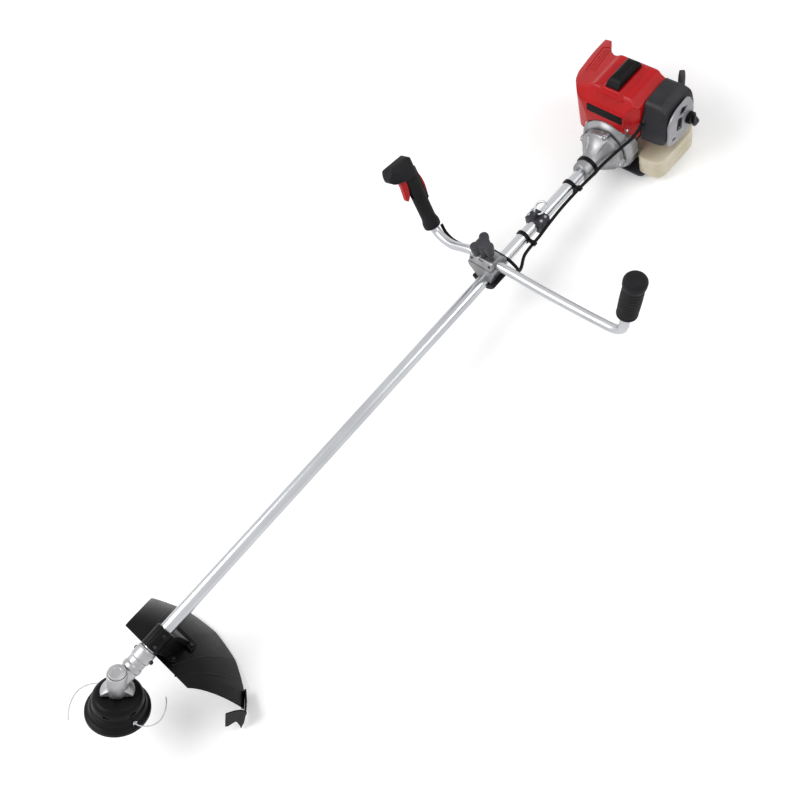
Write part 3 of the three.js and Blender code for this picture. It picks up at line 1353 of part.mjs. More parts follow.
function addStand(ground) {
  const rear = starterFront + starterDepth - 4;
  const deck = -tankBottom - seatGap;
  const plan = [
    [tankFront - 8, -standLeft, 14], [crankRear, -standLeft + 6, 14], [rear, -starterHalfWidth - 16, 8],
    [rear, starterHalfWidth + 10, 8],
    [crankRear, standRight, 14], [tankFront - 8, standRight, 14],
  ];
  const tray = plate('z', plan, deck - 6, deck, 0, 2);
  const feet = [-1, 1].map((side) => {
    const reach = [side * 44 - 8, side * 44 + 8];
    const outline = [
      [tankFront + 4, deck - 2], [rear - 10, deck - 2], [rear - 10, ground.at(rear - 10)],
      [tankFront + 4, ground.at(tankFront + 4)],
    ];
    return plate('y', outline, ...reach);
  });
  const rearWall = cut(
    plate(
      'x',
      [
        [-starterHalfWidth, deck - 2], [starterHalfWidth, deck - 2], [starterHalfWidth - 6, deck + 8],
        [-starterHalfWidth + 6, deck + 8],
      ],
      rear - 8, rear,
    ),
    box(
      [rear - 9, rear + 1], [-2 * starterHalfWidth, 2 * starterHalfWidth],
      [-starterBottom - seatGap, 0],
    ),
  );
  piece(workingFrame, 'tank_stand', 'greyPlastic', join(tray, ...feet, rearWall));
}

// ---- assembly ----------------------------------------------------------------------------------

addTube();
addGearCase();
addTrimmerHead();
addLines();
addGuard();
addHandlebar();
frameHandle();
addThrottleHandle();
addHanger();
addClipsAndLoom();
addClutch();
addCrankcase();
addCylinder();
addShroud();
addIntake();
addStarter();
addTank();
addStand(restingPlane());

const group = new THREE.Group();
group.name = 'brush_cutter';
group.add(workingFrame);

// Level the ground plane, then set the origin on it under the middle of the bounding box.
workingFrame.rotation.y = Math.atan(restingPlane().slope);
group.updateMatrixWorld(true);
const bounds = new THREE.Box3().setFromObject(group, true);
workingFrame.position.set(
  -(bounds.min.x + bounds.max.x) / 2, -(bounds.min.y + bounds.max.y) / 2, -bounds.min.z,
);
group.updateMatrixWorld(true);

export default group;
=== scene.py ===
"""Petrol brush cutter with a bull-horn handlebar, laid out as a Blender add-on.

Sizes are millimetres in the drive tube's own frame: +X runs along the tube from the gear case to the
engine, +Y to the operator's right and +Z up, and the origin is where the head's axis crosses the tube's.
"""
import json
import math

import bmesh
import bpy
from mathutils import Matrix, Vector


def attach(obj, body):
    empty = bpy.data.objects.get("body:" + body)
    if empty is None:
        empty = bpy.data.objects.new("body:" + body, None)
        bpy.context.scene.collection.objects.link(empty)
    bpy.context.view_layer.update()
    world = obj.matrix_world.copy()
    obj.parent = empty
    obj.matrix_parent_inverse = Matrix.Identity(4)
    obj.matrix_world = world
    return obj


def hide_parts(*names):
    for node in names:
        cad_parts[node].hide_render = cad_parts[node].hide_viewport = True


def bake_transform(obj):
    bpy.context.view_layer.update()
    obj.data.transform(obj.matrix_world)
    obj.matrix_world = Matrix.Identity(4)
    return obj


bl_info = {
    "name": "Brush Cutter",
    "version": (1, 0, 0),
    "blender": (4, 5, 0),
    "location": "3D View > Sidebar > Brush Cutter",
    "description": "Builds the finished pieces of a petrol brush cutter around its frame",
    "category": "Add Mesh",
}

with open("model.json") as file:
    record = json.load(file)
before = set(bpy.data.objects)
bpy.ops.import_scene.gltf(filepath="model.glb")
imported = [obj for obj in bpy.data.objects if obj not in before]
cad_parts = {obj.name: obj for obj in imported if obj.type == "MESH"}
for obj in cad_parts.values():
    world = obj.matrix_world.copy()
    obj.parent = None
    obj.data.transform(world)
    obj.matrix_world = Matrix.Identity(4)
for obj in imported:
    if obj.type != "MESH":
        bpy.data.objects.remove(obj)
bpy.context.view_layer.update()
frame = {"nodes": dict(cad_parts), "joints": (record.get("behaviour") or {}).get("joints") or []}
JOINTS = {joint["name"]: joint for joint in frame["joints"]}
MM = 0.001

# ---- frames of the machine's parts ---------------------------------------------------------------


def joint_axis(name):
    return Vector(JOINTS[name]["axis"]).normalized()


def joint_place(name):
    return Vector(JOINTS[name]["pos_m"])


def frame_matrix(x_axis, y_axis, place):
    """Matrix from millimetres in a part's own frame to metres in the row frame."""
    z_axis = x_axis.cross(y_axis)
    axes = Matrix((x_axis, y_axis, z_axis)).transposed().to_4x4()
    return Matrix.Translation(place) @ axes @ Matrix.Scale(MM, 4)


def turn(degrees, axis):
    return Matrix.Rotation(math.radians(degrees), 4, axis)


def along(direction, place):
    """Matrix that turns +Z to the direction and moves the origin to the place, both in the tube's frame."""
    quaternion = Vector((0, 0, 1)).rotation_difference(Vector(direction).normalized())
    return Matrix.Translation(Vector(place)) @ quaternion.to_matrix().to_4x4()


Y_AXIS = Vector((0, 1, 0))
TUBE = frame_matrix(joint_axis("shaft_spin"), Y_AXIS, joint_place("head_spin"))
HEAD_TILT = math.degrees(joint_axis("head_spin").angle(TUBE.to_3x3().normalized() @ Vector((0, 0, 1))))
HEAD = TUBE @ turn(HEAD_TILT, "Y")
GUARD_ROLL = 7
GUARD = TUBE @ turn(GUARD_ROLL, "X") @ turn(HEAD_TILT, "Y")
TRIGGER_PIVOT = Vector((-11, 0, 142))
HANDLE = frame_matrix(joint_axis("switch_slide"), joint_axis("lockout_press"), joint_place("trigger_pull"))
HANDLE = HANDLE @ Matrix.Translation(-TRIGGER_PIVOT)


def in_tube(vector):
    """A direction of the row frame, in the tube's frame."""
    return (TUBE.to_3x3().inverted() @ vector).normalized()


def extent(node, space=TUBE):
    """Lowest and highest corners of a frame node, in millimetres of the given frame."""
    inverse = space.inverted()
    corners = [inverse @ vertex.co for vertex in frame["nodes"][node].data.vertices]
    low = Vector([min(corner[i] for corner in corners) for i in range(3)])
    high = Vector([max(corner[i] for corner in corners) for i in range(3)])
    return low, high


# ---- meshes --------------------------------------------------------------------------------------

TURNED_TO = {
    "x": Matrix(((0, 0, 1), (1, 0, 0), (0, 1, 0))),
    "y": Matrix(((1, 0, 0), (0, 0, 1), (0, 1, 0))),
    "z": Matrix.Identity(3),
}


def add_object(name, data):
    made = bpy.data.objects.new(name, data)
    bpy.context.scene.collection.objects.link(made)
    return made


def new_object(name, vertices, faces):
    """Object of a mesh whose faces all point out."""
    mesh = bpy.data.meshes.new(name)
    mesh.from_pydata([tuple(v) for v in vertices], [], faces)
    work = bmesh.new()
    work.from_mesh(mesh)
    bmesh.ops.recalc_face_normals(work, faces=work.faces)
    if work.calc_volume(signed=True) < 0:
        bmesh.ops.reverse_faces(work, faces=work.faces)
    work.to_mesh(mesh)
    work.free()
    return add_object(name, mesh)


def aimed(vertices, axis, shift=(0, 0, 0)):
    """Vertices made along +Z, turned along the named axis and moved."""
    return [TURNED_TO[axis] @ Vector(v) + Vector(shift) for v in vertices]


def polar(radius, angle):
    return radius * math.cos(angle), radius * math.sin(angle)


def rounded(outline, fillet, steps, closed=True):
    """The outline with each corner turned into an arc. A corner may give its own fillet as a third number."""
    points = []
    count = len(outline)
    for i, corner in enumerate(outline):
        here = Vector(corner[:2])
        reach = corner[2] if len(corner) > 2 else fillet
        if reach <= 0 or (not closed and i in (0, count - 1)):
            points.append(here)
            continue
        back = Vector(outline[i - 1][:2]) - here
        ahead = Vector(outline[(i + 1) % count][:2]) - here
        reach = min(reach, back.length * 0.48, ahead.length * 0.48)
        start = here + back.normalized() * reach
        end = here + ahead.normalized() * reach
        for k in range(steps + 1):
            share = k / steps
            points.append(start * (1 - share) ** 2 + here * 2 * share * (1 - share) + end * share**2)
    return points


def lathe(profile, sides=72, axis="z", fillet=0, steps=4, shift=(0, 0, 0)):
    """Body of revolution of a profile of (radius, place along the axis), open at the axis or closed."""
    open_ends = profile[0][0] == 0 and profile[-1][0] == 0
    points = rounded(profile, fillet, steps, closed=not open_ends)
    vertices = []
    rings = []
    for radius, place in points:
        if radius < 1e-6:
            rings.append([len(vertices)] * sides)
            vertices.append((0, 0, place))
            continue
        rings.append(list(range(len(vertices), len(vertices) + sides)))
        for i in range(sides):
            vertices.append((*polar(radius, 2 * math.pi * i / sides), place))
    pairs = list(zip(rings, rings[1:])) + ([] if open_ends else [(rings[-1], rings[0])])
    faces = []
    for lower, upper in pairs:
        for i in range(sides):
            k = (i + 1) % sides
            corners = list(dict.fromkeys([lower[i], lower[k], upper[k], upper[i]]))
            if len(corners) > 2:
                faces.append(corners)
    return new_object("turned", aimed(vertices, axis, shift), faces)


def beside(axis, at):
    """Place with the two given coordinates across the axis."""
    return {"x": (0, *at), "y": (at[0], 0, at[1]), "z": (*at, 0)}[axis]


def rod(radius, start, end, axis="z", at=(0, 0), sides=48, edge=0.6, end_radius=None):
    """Plain round rod with softened rims; at gives its two coordinates across the axis."""
    last = radius if end_radius is None else end_radius
    profile = [(0, start), (radius, start, edge), (last, end, edge), (0, end)]
    return lathe(profile, sides, axis, steps=3, shift=beside(axis, at))


def pipe(inner, outer, start, end, axis="z", sides=64, edge=0.5, at=(0, 0)):
    """Round sleeve with softened rims."""
    profile = [(inner, start), (outer, start), (outer, end), (inner, end)]
    return lathe(profile, sides, axis, fillet=edge, steps=3, shift=beside(axis, at))


def prism(outline, start, end, axis="z", fillet=0, steps=5):
    """Plate with the given outline, thick along the axis."""
    points = rounded(outline, fillet, steps)
    count = len(points)
    vertices = [(u, v, start) for u, v in points] + [(u, v, end) for u, v in points]
    sides = [[i, (i + 1) % count, count + (i + 1) % count, count + i] for i in range(count)]
    caps = [list(range(count))[::-1], list(range(count, 2 * count))]
    return new_object("plate", aimed(vertices, axis), sides + caps)


def block(x, y, z, fillet=0):
    """Box between two places along each axis."""
    corners = [(x[0], y[0]), (x[1], y[0]), (x[1], y[1]), (x[0], y[1])]
    return prism(corners, *z, fillet=fillet)


def smooth_path(points, step):
    """Centripetal Catmull-Rom curve through the points, sampled about every step."""
    knots = [Vector(p) for p in points]
    knots = [knots[0] * 2 - knots[1]] + knots + [knots[-1] * 2 - knots[-2]]
    path = []
    for a, b, c, d in zip(knots, knots[1:], knots[2:], knots[3:]):
        times = [0]
        for p, q in ((a, b), (b, c), (c, d)):
            times.append(times[-1] + max((q - p).length, 1e-6) ** 0.5)
        t0, t1, t2, t3 = times
        pieces = max(1, round((c - b).length / step))
        for k in range(pieces):
            t = t1 + (t2 - t1) * k / pieces
            before = a.lerp(b, (t - t0) / (t1 - t0))
            between = b.lerp(c, (t - t1) / (t2 - t1))
            after = c.lerp(d, (t - t2) / (t3 - t2))
            first = before.lerp(between, (t - t0) / (t2 - t0))
            second = between.lerp(after, (t - t1) / (t3 - t1))
            path.append(first.lerp(second, (t - t1) / (t2 - t1)))
    path.append(knots[-2])
    return path


def tube_faces(rings, sides, closed=False):
    """Faces between rings of vertices; the last ring meets the first where the tube is closed."""
    faces = []
    for i in range(rings if closed else rings - 1):
        for k in range(sides):
            here, there = i * sides, (i + 1) % rings * sides
            n = (k + 1) % sides
            faces.append([here + k, here + n, there + n, there + k])
    return faces


def sweep(path, radius, sides=24):
    """Round bar along a path. The radius is a number or a function of the distance along the path."""
    width = radius if callable(radius) else (lambda distance: radius)
    last = len(path) - 1
    tangents = [(path[min(i + 1, last)] - path[max(i - 1, 0)]).normalized() for i in range(last + 1)]
    across = tangents[0].orthogonal().normalized()
    vertices = []
    distance = 0
    for i, (point, tangent) in enumerate(zip(path, tangents)):
        if i:
            distance += (point - path[i - 1]).length
            across = (across - tangent * across.dot(tangent)).normalized()
        third = tangent.cross(across)
        for k in range(sides):
            u, v = polar(1, 2 * math.pi * k / sides)
            vertices.append(point + (across * u + third * v) * width(distance))
    caps = [list(range(sides))[::-1], list(range(last * sides, (last + 1) * sides))]
    return new_object("swept", vertices, tube_faces(last + 1, sides) + caps)


def closed_sweep(path, radius, sides):
    """Round bar along a closed flat loop."""
    centre = sum(path, Vector()) / len(path)
    normal = (path[0] - centre).cross(path[len(path) // 4] - centre).normalized()
    vertices = []
    for i, point in enumerate(path):
        tangent = (path[(i + 1) % len(path)] - path[i - 1]).normalized()
        outward = tangent.cross(normal)
        for k in range(sides):
            u, v = polar(1, 2 * math.pi * k / sides)
            vertices.append(point + (outward * u + normal * v) * radius)
    return new_object("loop", vertices, tube_faces(len(path), sides, closed=True))


def applied(made):
    """The object with its modifiers turned into mesh."""
    graph = bpy.context.evaluated_depsgraph_get()
    mesh = bpy.data.meshes.new_from_object(made.evaluated_get(graph))
    old = made.data
    made.modifiers.clear()
    made.data = mesh
    bpy.data.meshes.remove(old)
    return made


def modified(made, kind, **settings):
    """Adds a modifier with its settings; applied() turns it into mesh."""
    change = made.modifiers.new(kind.lower(), kind)
    for name, value in settings.items():
        setattr(change, name, value)
    return made


def combined(operation, base, tools):
    """Boolean of the base with every tool; the tools are used up."""
    for tool in tools:
        modified(base, "BOOLEAN", operation=operation, solver="MANIFOLD", object=tool)
    applied(base)
    for tool in tools:
        bpy.data.objects.remove(tool)
    if not base.data.vertices:
        raise RuntimeError(f"nothing is left of {base.name}")
    return base


def joined(base, *tools):
    return combined("UNION", base, tools)


def cut(base, *tools):
    return combined("DIFFERENCE", base, tools)


def common(base, *tools):
    return combined("INTERSECT", base, tools)


def bevelled(made, width, segments=3, angle=32):
    """Rounds every edge sharper than the angle."""
    return applied(modified(made, "BEVEL", width=width, segments=segments, limit_method="ANGLE",
                            angle_limit=math.radians(angle), use_clamp_overlap=True))


def melted(made, voxel, rounds):
    """Joined shapes run into each other with fillets, as in a casting: a voxel skin, smoothed."""
    modified(made, "REMESH", mode="VOXEL", voxel_size=voxel)
    return applied(modified(made, "SMOOTH", factor=0.5, iterations=rounds))


def swollen(made, amount):
    """Moves the whole surface out along its own directions."""
    return applied(modified(made, "DISPLACE", strength=amount, mid_level=0))


def moved(made, matrix):
    made.data.transform(matrix)
    return made


def around(count, axis, make, first=0):
    """Shapes spread evenly round an axis; make gives a fresh one each time."""
    return [moved(make(), turn(first + 360 / count * k, axis)) for k in range(count)]


def both_sides(near, far):
    """The span between two distances from the middle, on the low side and on the high side."""
    return (-far, -near), (near, far)


def copies(made, count):
    """The object and further copies of it, as many as asked for."""
    return [made] + [add_object(made.name, made.data.copy()) for _ in range(count - 1)]


def hand_over(made, name, finish_name, body, nodes=(), space=TUBE, crease=38):
    """Puts a finished piece in the row frame, with its material, to ride on its body if it has one."""
    look = finish(finish_name)
    made.name = name
    made.data.name = name
    made.data.transform(space)
    if space.determinant() < 0:
        made.data.flip_normals()
    made.data.materials.clear()
    made.data.materials.append(look["material"])
    made.data.shade_smooth()
    made.data.set_sharp_from_angle(angle=math.radians(crease))
    if body:
        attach(made, body)
    if nodes:
        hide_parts(*nodes)
    return made


def dressed(finish_name, *nodes):
    """Frame nodes whose own shape is right get the material through their objects' slots."""
    for node in nodes:
        for place in frame["nodes"][node].material_slots:
            place.link = "OBJECT"
            place.material = finish(finish_name)["material"]


# ---- finishes ------------------------------------------------------------------------------------


def linear(code):
    """Linear colour of an sRGB hex value."""
    channels = [int(code[i : i + 2], 16) / 255 for i in (0, 2, 4)]
    return tuple(c / 12.92 if c <= 0.04045 else ((c + 0.055) / 1.055) ** 2.4 for c in channels) + (1.0,)


def srgb(channel):
    """One linear channel as sRGB."""
    return channel * 12.92 if channel <= 0.0031308 else 1.055 * channel ** (1 / 2.4) - 0.055


def hex_code(colour, share=1):
    """Hex value of a linear colour whose sRGB channels are scaled by the share."""
    return "".join(f"{round(255 * share * srgb(channel)):02X}" for channel in colour)


def add_node(tree, kind, settings=None, values=None, links=None):
    """Adds a node; settings are its properties, values its plain sockets and links what feeds a socket."""
    made = tree.nodes.new(kind)
    for name, value in (settings or {}).items():
        setattr(made, name, value)
    for name, value in (values or {}).items():
        made.inputs[name].default_value = value
    for name, socket in (links or {}).items():
        tree.links.new(socket, made.inputs[name])
    return made


def per_metre(size_mm):
    """Scale of a texture whose features are that many millimetres apart."""
    return 1 / (size_mm * MM)


def surface(name, slot, **sockets):
    """A new material with the Principled sockets set: its finish, node tree, shader and object position."""
    material = bpy.data.materials.new(name)
    material.use_nodes = True
    tree = material.node_tree
    shader = tree.nodes["Principled BSDF"]
    for socket, value in sockets.items():
        shader.inputs[socket.replace("_", " ")].default_value = value
    position = add_node(tree, "ShaderNodeTexCoord").outputs["Object"]
    return {"material": material, "slot": slot}, tree, shader, position


def add_noise(tree, position, size_mm, detail):
    """Noise between 0 and 1 whose features are that many millimetres apart."""
    noise = add_node(tree, "ShaderNodeTexNoise", None, {"Scale": per_metre(size_mm), "Detail": detail},
                     {"Vector": position})
    return noise.outputs["Fac"]


def spread(tree, value, start, end, low=0.0, high=1.0):
    """The value's stretch from start to end spread over low to high."""
    ranged = add_node(tree, "ShaderNodeMapRange", None,
                      {"From Min": start, "From Max": end, "To Min": low, "To Max": high}, {"Value": value})
    return ranged.outputs["Result"]


def vary_colour(tree, shader, position, dark, light, size_mm, detail=2.0):
    """Slow change of tone between two colours, as moulding and handling leave."""
    noise = add_noise(tree, position, size_mm, detail)
    factor = spread(tree, noise, 0.35, 0.65)
    mix = add_node(tree, "ShaderNodeMix", {"data_type": "RGBA"}, None, {"Factor": factor})
    colour = [socket for socket in mix.inputs if socket.type == "RGBA"]
    colour[0].default_value = linear(dark)
    colour[1].default_value = linear(light)
    result = next(socket for socket in mix.outputs if socket.type == "RGBA")
    tree.links.new(result, shader.inputs["Base Color"])
    return noise


def vary_roughness(tree, shader, position, low, high, size_mm):
    """Roughness that wanders between two values, as wiping and handling leave it."""
    noise = add_noise(tree, position, size_mm, 3.0)
    tree.links.new(spread(tree, noise, 0.3, 0.7, low, high), shader.inputs["Roughness"])


def add_grain(tree, shader, height, depth_mm, strength=0.5):
    """Relief from a height between 0 and 1."""
    bump = add_node(tree, "ShaderNodeBump", None, {"Strength": strength, "Distance": depth_mm * MM},
                    {"Height": height})
    tree.links.new(bump.outputs["Normal"], shader.inputs["Normal"])


def moulded(name, slot, dark, light, roughness, ior, grain_mm, depth_mm, **sockets):
    """Injection-moulded plastic: even colour, slight tone drift and the texture of the mould."""
    finish, tree, shader, position = surface(name, slot, Roughness=roughness, IOR=ior, **sockets)
    vary_colour(tree, shader, position, dark, light, 45)
    vary_roughness(tree, shader, position, roughness - 0.05, roughness + 0.05, 18)
    add_grain(tree, shader, add_noise(tree, position, grain_mm, 4.0), depth_mm)
    return finish


def metal(name, slot, dark, light, low, high, size_mm, grain_mm, depth_mm, strength=0.4):
    """Bare metal: a tone that drifts, roughness between two values and a surface grain."""
    finish, tree, shader, position = surface(name, slot, Metallic=1.0)
    vary_colour(tree, shader, position, dark, light, size_mm)
    vary_roughness(tree, shader, position, low, high, size_mm / 2)
    add_grain(tree, shader, add_noise(tree, position, grain_mm, 3.0), depth_mm, strength)
    return finish


# How far the tube leans from level in the row frame: below zero, because its engine end is the lower one.
TUBE_LEAN = math.asin(joint_axis("shaft_spin").z)


def drawn_aluminium(name, slot, stretch_mm, roughness):
    """Drawn and polished aluminium, clear anodised: a soft mirror with faint lines along its length."""
    finish, tree, shader, position = surface(name, slot, Metallic=1.0)
    # Real draw lines are about 0.1 mm apart; they are drawn 1.5 mm apart so that they show.
    along_tube = add_node(tree, "ShaderNodeMapping", None, {"Rotation": (0, TUBE_LEAN, 0)},
                          {"Vector": position})
    scale = (per_metre(stretch_mm), per_metre(1.5), per_metre(1.5))
    stretched = add_node(tree, "ShaderNodeMapping", None, {"Scale": scale},
                         {"Vector": along_tube.outputs["Vector"]})
    lines = add_node(tree, "ShaderNodeTexNoise", None, {"Scale": 1.0, "Detail": 2.0},
                     {"Vector": stretched.outputs["Vector"]}).outputs["Fac"]
    tree.links.new(spread(tree, lines, 0.3, 0.7, roughness, roughness + 0.06), shader.inputs["Roughness"])
    add_grain(tree, shader, lines, 0.015, 0.2)
    vary_colour(tree, shader, position, "B9BBBF", "C6C8CB", 160)
    return finish


def polyethylene():
    """Blow-moulded natural polyethylene: cream, waxy, and light goes a little way into it."""
    finish, tree, shader, position = surface(
        "natural_polyethylene", "tank_plastic", Roughness=0.42, IOR=1.51,
        Subsurface_Weight=0.35, Subsurface_Scale=0.006)
    shader.inputs["Subsurface Radius"].default_value = (1.0, 0.75, 0.5)
    vary_colour(tree, shader, position, "D6CBB0", "E2D9C3", 40)
    vary_roughness(tree, shader, position, 0.36, 0.48, 22)
    # The mould's blasted skin is about 0.3 mm grit, drawn at 1.2 mm so that it shows.
    add_grain(tree, shader, add_noise(tree, position, 1.2, 3.0), 0.05, 0.4)
    return finish


def heated_steel():
    """Pressed steel of a muffler: straw to grey-brown heat tint over a rolled skin."""
    finish, tree, shader, position = surface("heat_tinted_steel", "steel_parts", Metallic=1.0)
    noise = vary_colour(tree, shader, position, "6E6459", "A79F92", 26, 3.0)
    vary_roughness(tree, shader, position, 0.32, 0.5, 12)
    add_grain(tree, shader, noise, 0.05, 0.3)
    return finish


def nylon_line():
    """Extruded nylon trimmer line: milky, half clear, with a soft gloss."""
    finish, tree, shader, position = surface(
        "extruded_nylon", "nylon_line", Roughness=0.3, IOR=1.53,
        Subsurface_Weight=0.5, Subsurface_Scale=0.002)
    vary_colour(tree, shader, position, "D3D6D8", "ECEEF0", 12)
    return finish


def make_finishes(colours):
    """Every finish of the machine, by the name its pieces use."""
    red = hex_code(colours.shroud_red)
    darker_red = hex_code(colours.shroud_red, 240 / 255)
    return {
        "tube": drawn_aluminium("drawn_aluminium", "polished_tube", 150, 0.22),
        # The same aluminium after bending: its draw lines are stretched out, and a fine even haze is left.
        "bar": drawn_aluminium("bent_aluminium", "polished_tube", 1.5, 0.32),
        # Die-cast aluminium, shot-blasted: light grey with a fine matt sparkle.
        "casting": metal("die_cast_aluminium", "cast_aluminium", "868688", "A4A4A6", 0.36, 0.52, 30, 1.6,
                         0.12),
        # The same casting alloy, tumbled: paler and smoother.
        "pale_casting": metal("tumbled_aluminium", "cast_aluminium", "A6A6A8", "BEBEC0", 0.34, 0.46, 30, 1.6,
                              0.1),
        # Zinc-plated steel: cool grey, smooth, with a faint cloud.
        "zinc": metal("zinc_plated_steel", "steel_parts", "A9ACB0", "C6C8CB", 0.22, 0.34, 10, 0.8, 0.02),
        # Blackened steel: near black, oily sheen.
        "black_steel": metal("blackened_steel", "dark_iron", "2E2E31", "47474B", 0.35, 0.5, 12, 0.9, 0.03),
        # High-gloss ABS, moulded and not painted: deep red with crisp highlights.
        "red": moulded("gloss_abs", "red_plastic", darker_red, red, 0.27, 1.53, 1.4, 0.02,
                       Specular_IOR_Level=0.22),
        # Glass-filled nylon, spark-eroded: charcoal with a dry, even grain.
        "charcoal": moulded("glass_filled_nylon", "dark_grey_plastic", "303035", "3B3B40", 0.5, 1.53, 1.1,
                            0.08, Specular_IOR_Level=0.3),
        # The same nylon, darker and smoother, of the air cleaner.
        "nylon": moulded("dark_nylon", "dark_grey_plastic", "1F1F23", "29292E", 0.45, 1.53, 1.1, 0.05,
                         Specular_IOR_Level=0.25),
        # Lighter bands of the same nylon, moulded smoother.
        "grey": moulded("smooth_grey_nylon", "dark_grey_plastic", "626267", "707075", 0.42, 1.53, 1.1, 0.04,
                        Specular_IOR_Level=0.4),
        # Black polypropylene, lightly grained: a soft low sheen.
        "black": moulded("black_polypropylene", "black_plastic", "0A0A0B", "111113", 0.4, 1.49, 1.2, 0.06,
                         Specular_IOR_Level=0.12),
        # Thin moulded polyethylene of the guard: satin black that shows long soft highlights.
        "guard": moulded("satin_polyethylene", "black_plastic", "0A0A0B", "101012", 0.3, 1.51, 1.3, 0.05,
                         Specular_IOR_Level=0.14),
        # Silver-grey ABS with a metallic effect pigment.
        "silver": moulded("silver_grey_abs", "pale_grey_plastic", "8E8E93", "A0A0A5", 0.36, 1.53, 1.0, 0.03,
                          Metallic=0.35),
        # Nitrile rubber: dull black with a fine sandy bloom.
        "rubber": moulded("nitrile_rubber", "grip_rubber", "121214", "1C1C1F", 0.62, 1.52, 0.9, 0.1,
                          Specular_IOR_Level=0.18),
        "tank": polyethylene(),
        "muffler": heated_steel(),
        "line": nylon_line(),
        # Needled felt of the air filter: straw coloured and fully matt.
        "felt": moulded("needled_felt", "filter_felt", "A89468", "C2AF84", 0.92, 1.5, 1.5, 0.6),
    }


# ---- settings ------------------------------------------------------------------------------------


def length_setting(name, description, default_mm, **limits):
    """A length property that shows in the scene's unit."""
    return bpy.props.FloatProperty(
        name=name, description=description, default=default_mm * MM, unit="LENGTH", precision=4, **limits)


def millimetres(length):
    return length / MM


class BrushCutterColours(bpy.types.PropertyGroup):
    """Colours that a user would change."""

    shroud_red: bpy.props.FloatVectorProperty(
        name="Shroud red", description="Colour of the engine shroud, the trigger and the other red plastics",
        subtype="COLOR", default=linear("C20B12")[:3], min=0, max=1)
    floor: bpy.props.FloatVectorProperty(
        name="Floor", description="Colour of the floor under the machine", subtype="COLOR",
        default=linear("F3F3F3")[:3], min=0, max=1)


class BrushCutterSizes(bpy.types.PropertyGroup):
    """Sizes that a user would change; the frame gives the rest."""

    grip_rib_pitch: length_setting(
        "Grip rib pitch", "Distance between the ribs of the left grip", 7.5, min=0.003)
    grip_rib_depth: length_setting("Grip rib depth", "Depth of the grooves between the ribs", 0.9, min=0)
    loom_pitch: length_setting("Loom pitch", "Distance between the corrugations of the throttle loom", 4.2)
    loom_relief: length_setting("Loom relief", "Height of the corrugations of the loom", 0.35, min=0)
    guard_facets: length_setting("Guard facet width", "Width of each flat panel along the guard's rim", 78)
    fin_thickness: length_setting("Cooling fin thickness", "Thickness of the cylinder's cooling fins", 1.6)
    slot_height: length_setting(
        "Grille slot height", "Height of the slots in the rear grille", 4.4, min=0.001)
    stage_width: length_setting("Stage width", "Width of the floor", 9000, min=2)


def sizes():
    return bpy.context.scene.brush_cutter_sizes


def colours():
    return bpy.context.scene.brush_cutter_colours


FINISHES = {}


def finish(name):
    """A finish by its name; the first use makes them all."""
    if not FINISHES:
        FINISHES.update(make_finishes(colours()))
    return FINISHES[name]


# ---- stage ---------------------------------------------------------------------------------------

CAMERA_PLACE = (-0.33375, -0.96439, 1.9218)
CAMERA_TURN = (25.25, 17.14, -48.63)
CAMERA_LENS = 44.87
# Metres from the machine's middle between which the lamps' light on the floor fades, and the floor's own
# glow at those two places.
LAMP_FADE = (1.2, 2.8)
FLOOR_GLOW = (0.3, 0.56)


def add_camera():
    camera = add_object("camera", bpy.data.cameras.new("camera"))
    camera.location = CAMERA_PLACE
    camera.rotation_euler = [math.radians(angle) for angle in CAMERA_TURN]
    camera.data.lens = CAMERA_LENS
    camera.data.clip_start = 0.05
    bpy.context.scene.camera = camera


def add_panel_light(name, place, target, width, power):
    """Square soft box that faces the target."""
    lamp = bpy.data.lights.new(name, "AREA")
    lamp.shape = "SQUARE"
    lamp.size = width
    lamp.energy = power
    box = add_object(name, lamp)
    box.location = place
    box.rotation_euler = (Vector(place) - Vector(target)).to_track_quat("Z", "Y").to_euler()


def seen_share(tree):
    """1 for the camera's, glossy and transmitted rays, and 0 for the rays that light the object."""
    rays = add_node(tree, "ShaderNodeLightPath").outputs
    share = rays["Is Camera Ray"]
    for kind in ("Is Glossy Ray", "Is Transmission Ray"):
        links = {0: share, 1: rays[kind]}
        share = add_node(tree, "ShaderNodeMath", {"operation": "MAXIMUM"}, None, links).outputs[0]
    return share


def light_world():
    """White where it is seen or mirrored, and a plain even light on the object."""
    world = bpy.data.worlds.new("studio")
    world.use_nodes = True
    tree = world.node_tree
    even = tree.nodes["Background"]
    even.inputs["Color"].default_value = (1, 1, 1, 1)
    even.inputs["Strength"].default_value = 0.5
    white = add_node(tree, "ShaderNodeBackground", None, {"Color": (1, 1, 1, 1), "Strength": 1.0})
    mix = add_node(tree, "ShaderNodeMixShader", None, None, {"Fac": seen_share(tree)})
    tree.links.new(even.outputs[0], mix.inputs[1])
    tree.links.new(white.outputs[0], mix.inputs[2])
    tree.links.new(mix.outputs[0], tree.nodes["World Output"].inputs["Surface"])
    bpy.context.scene.world = world


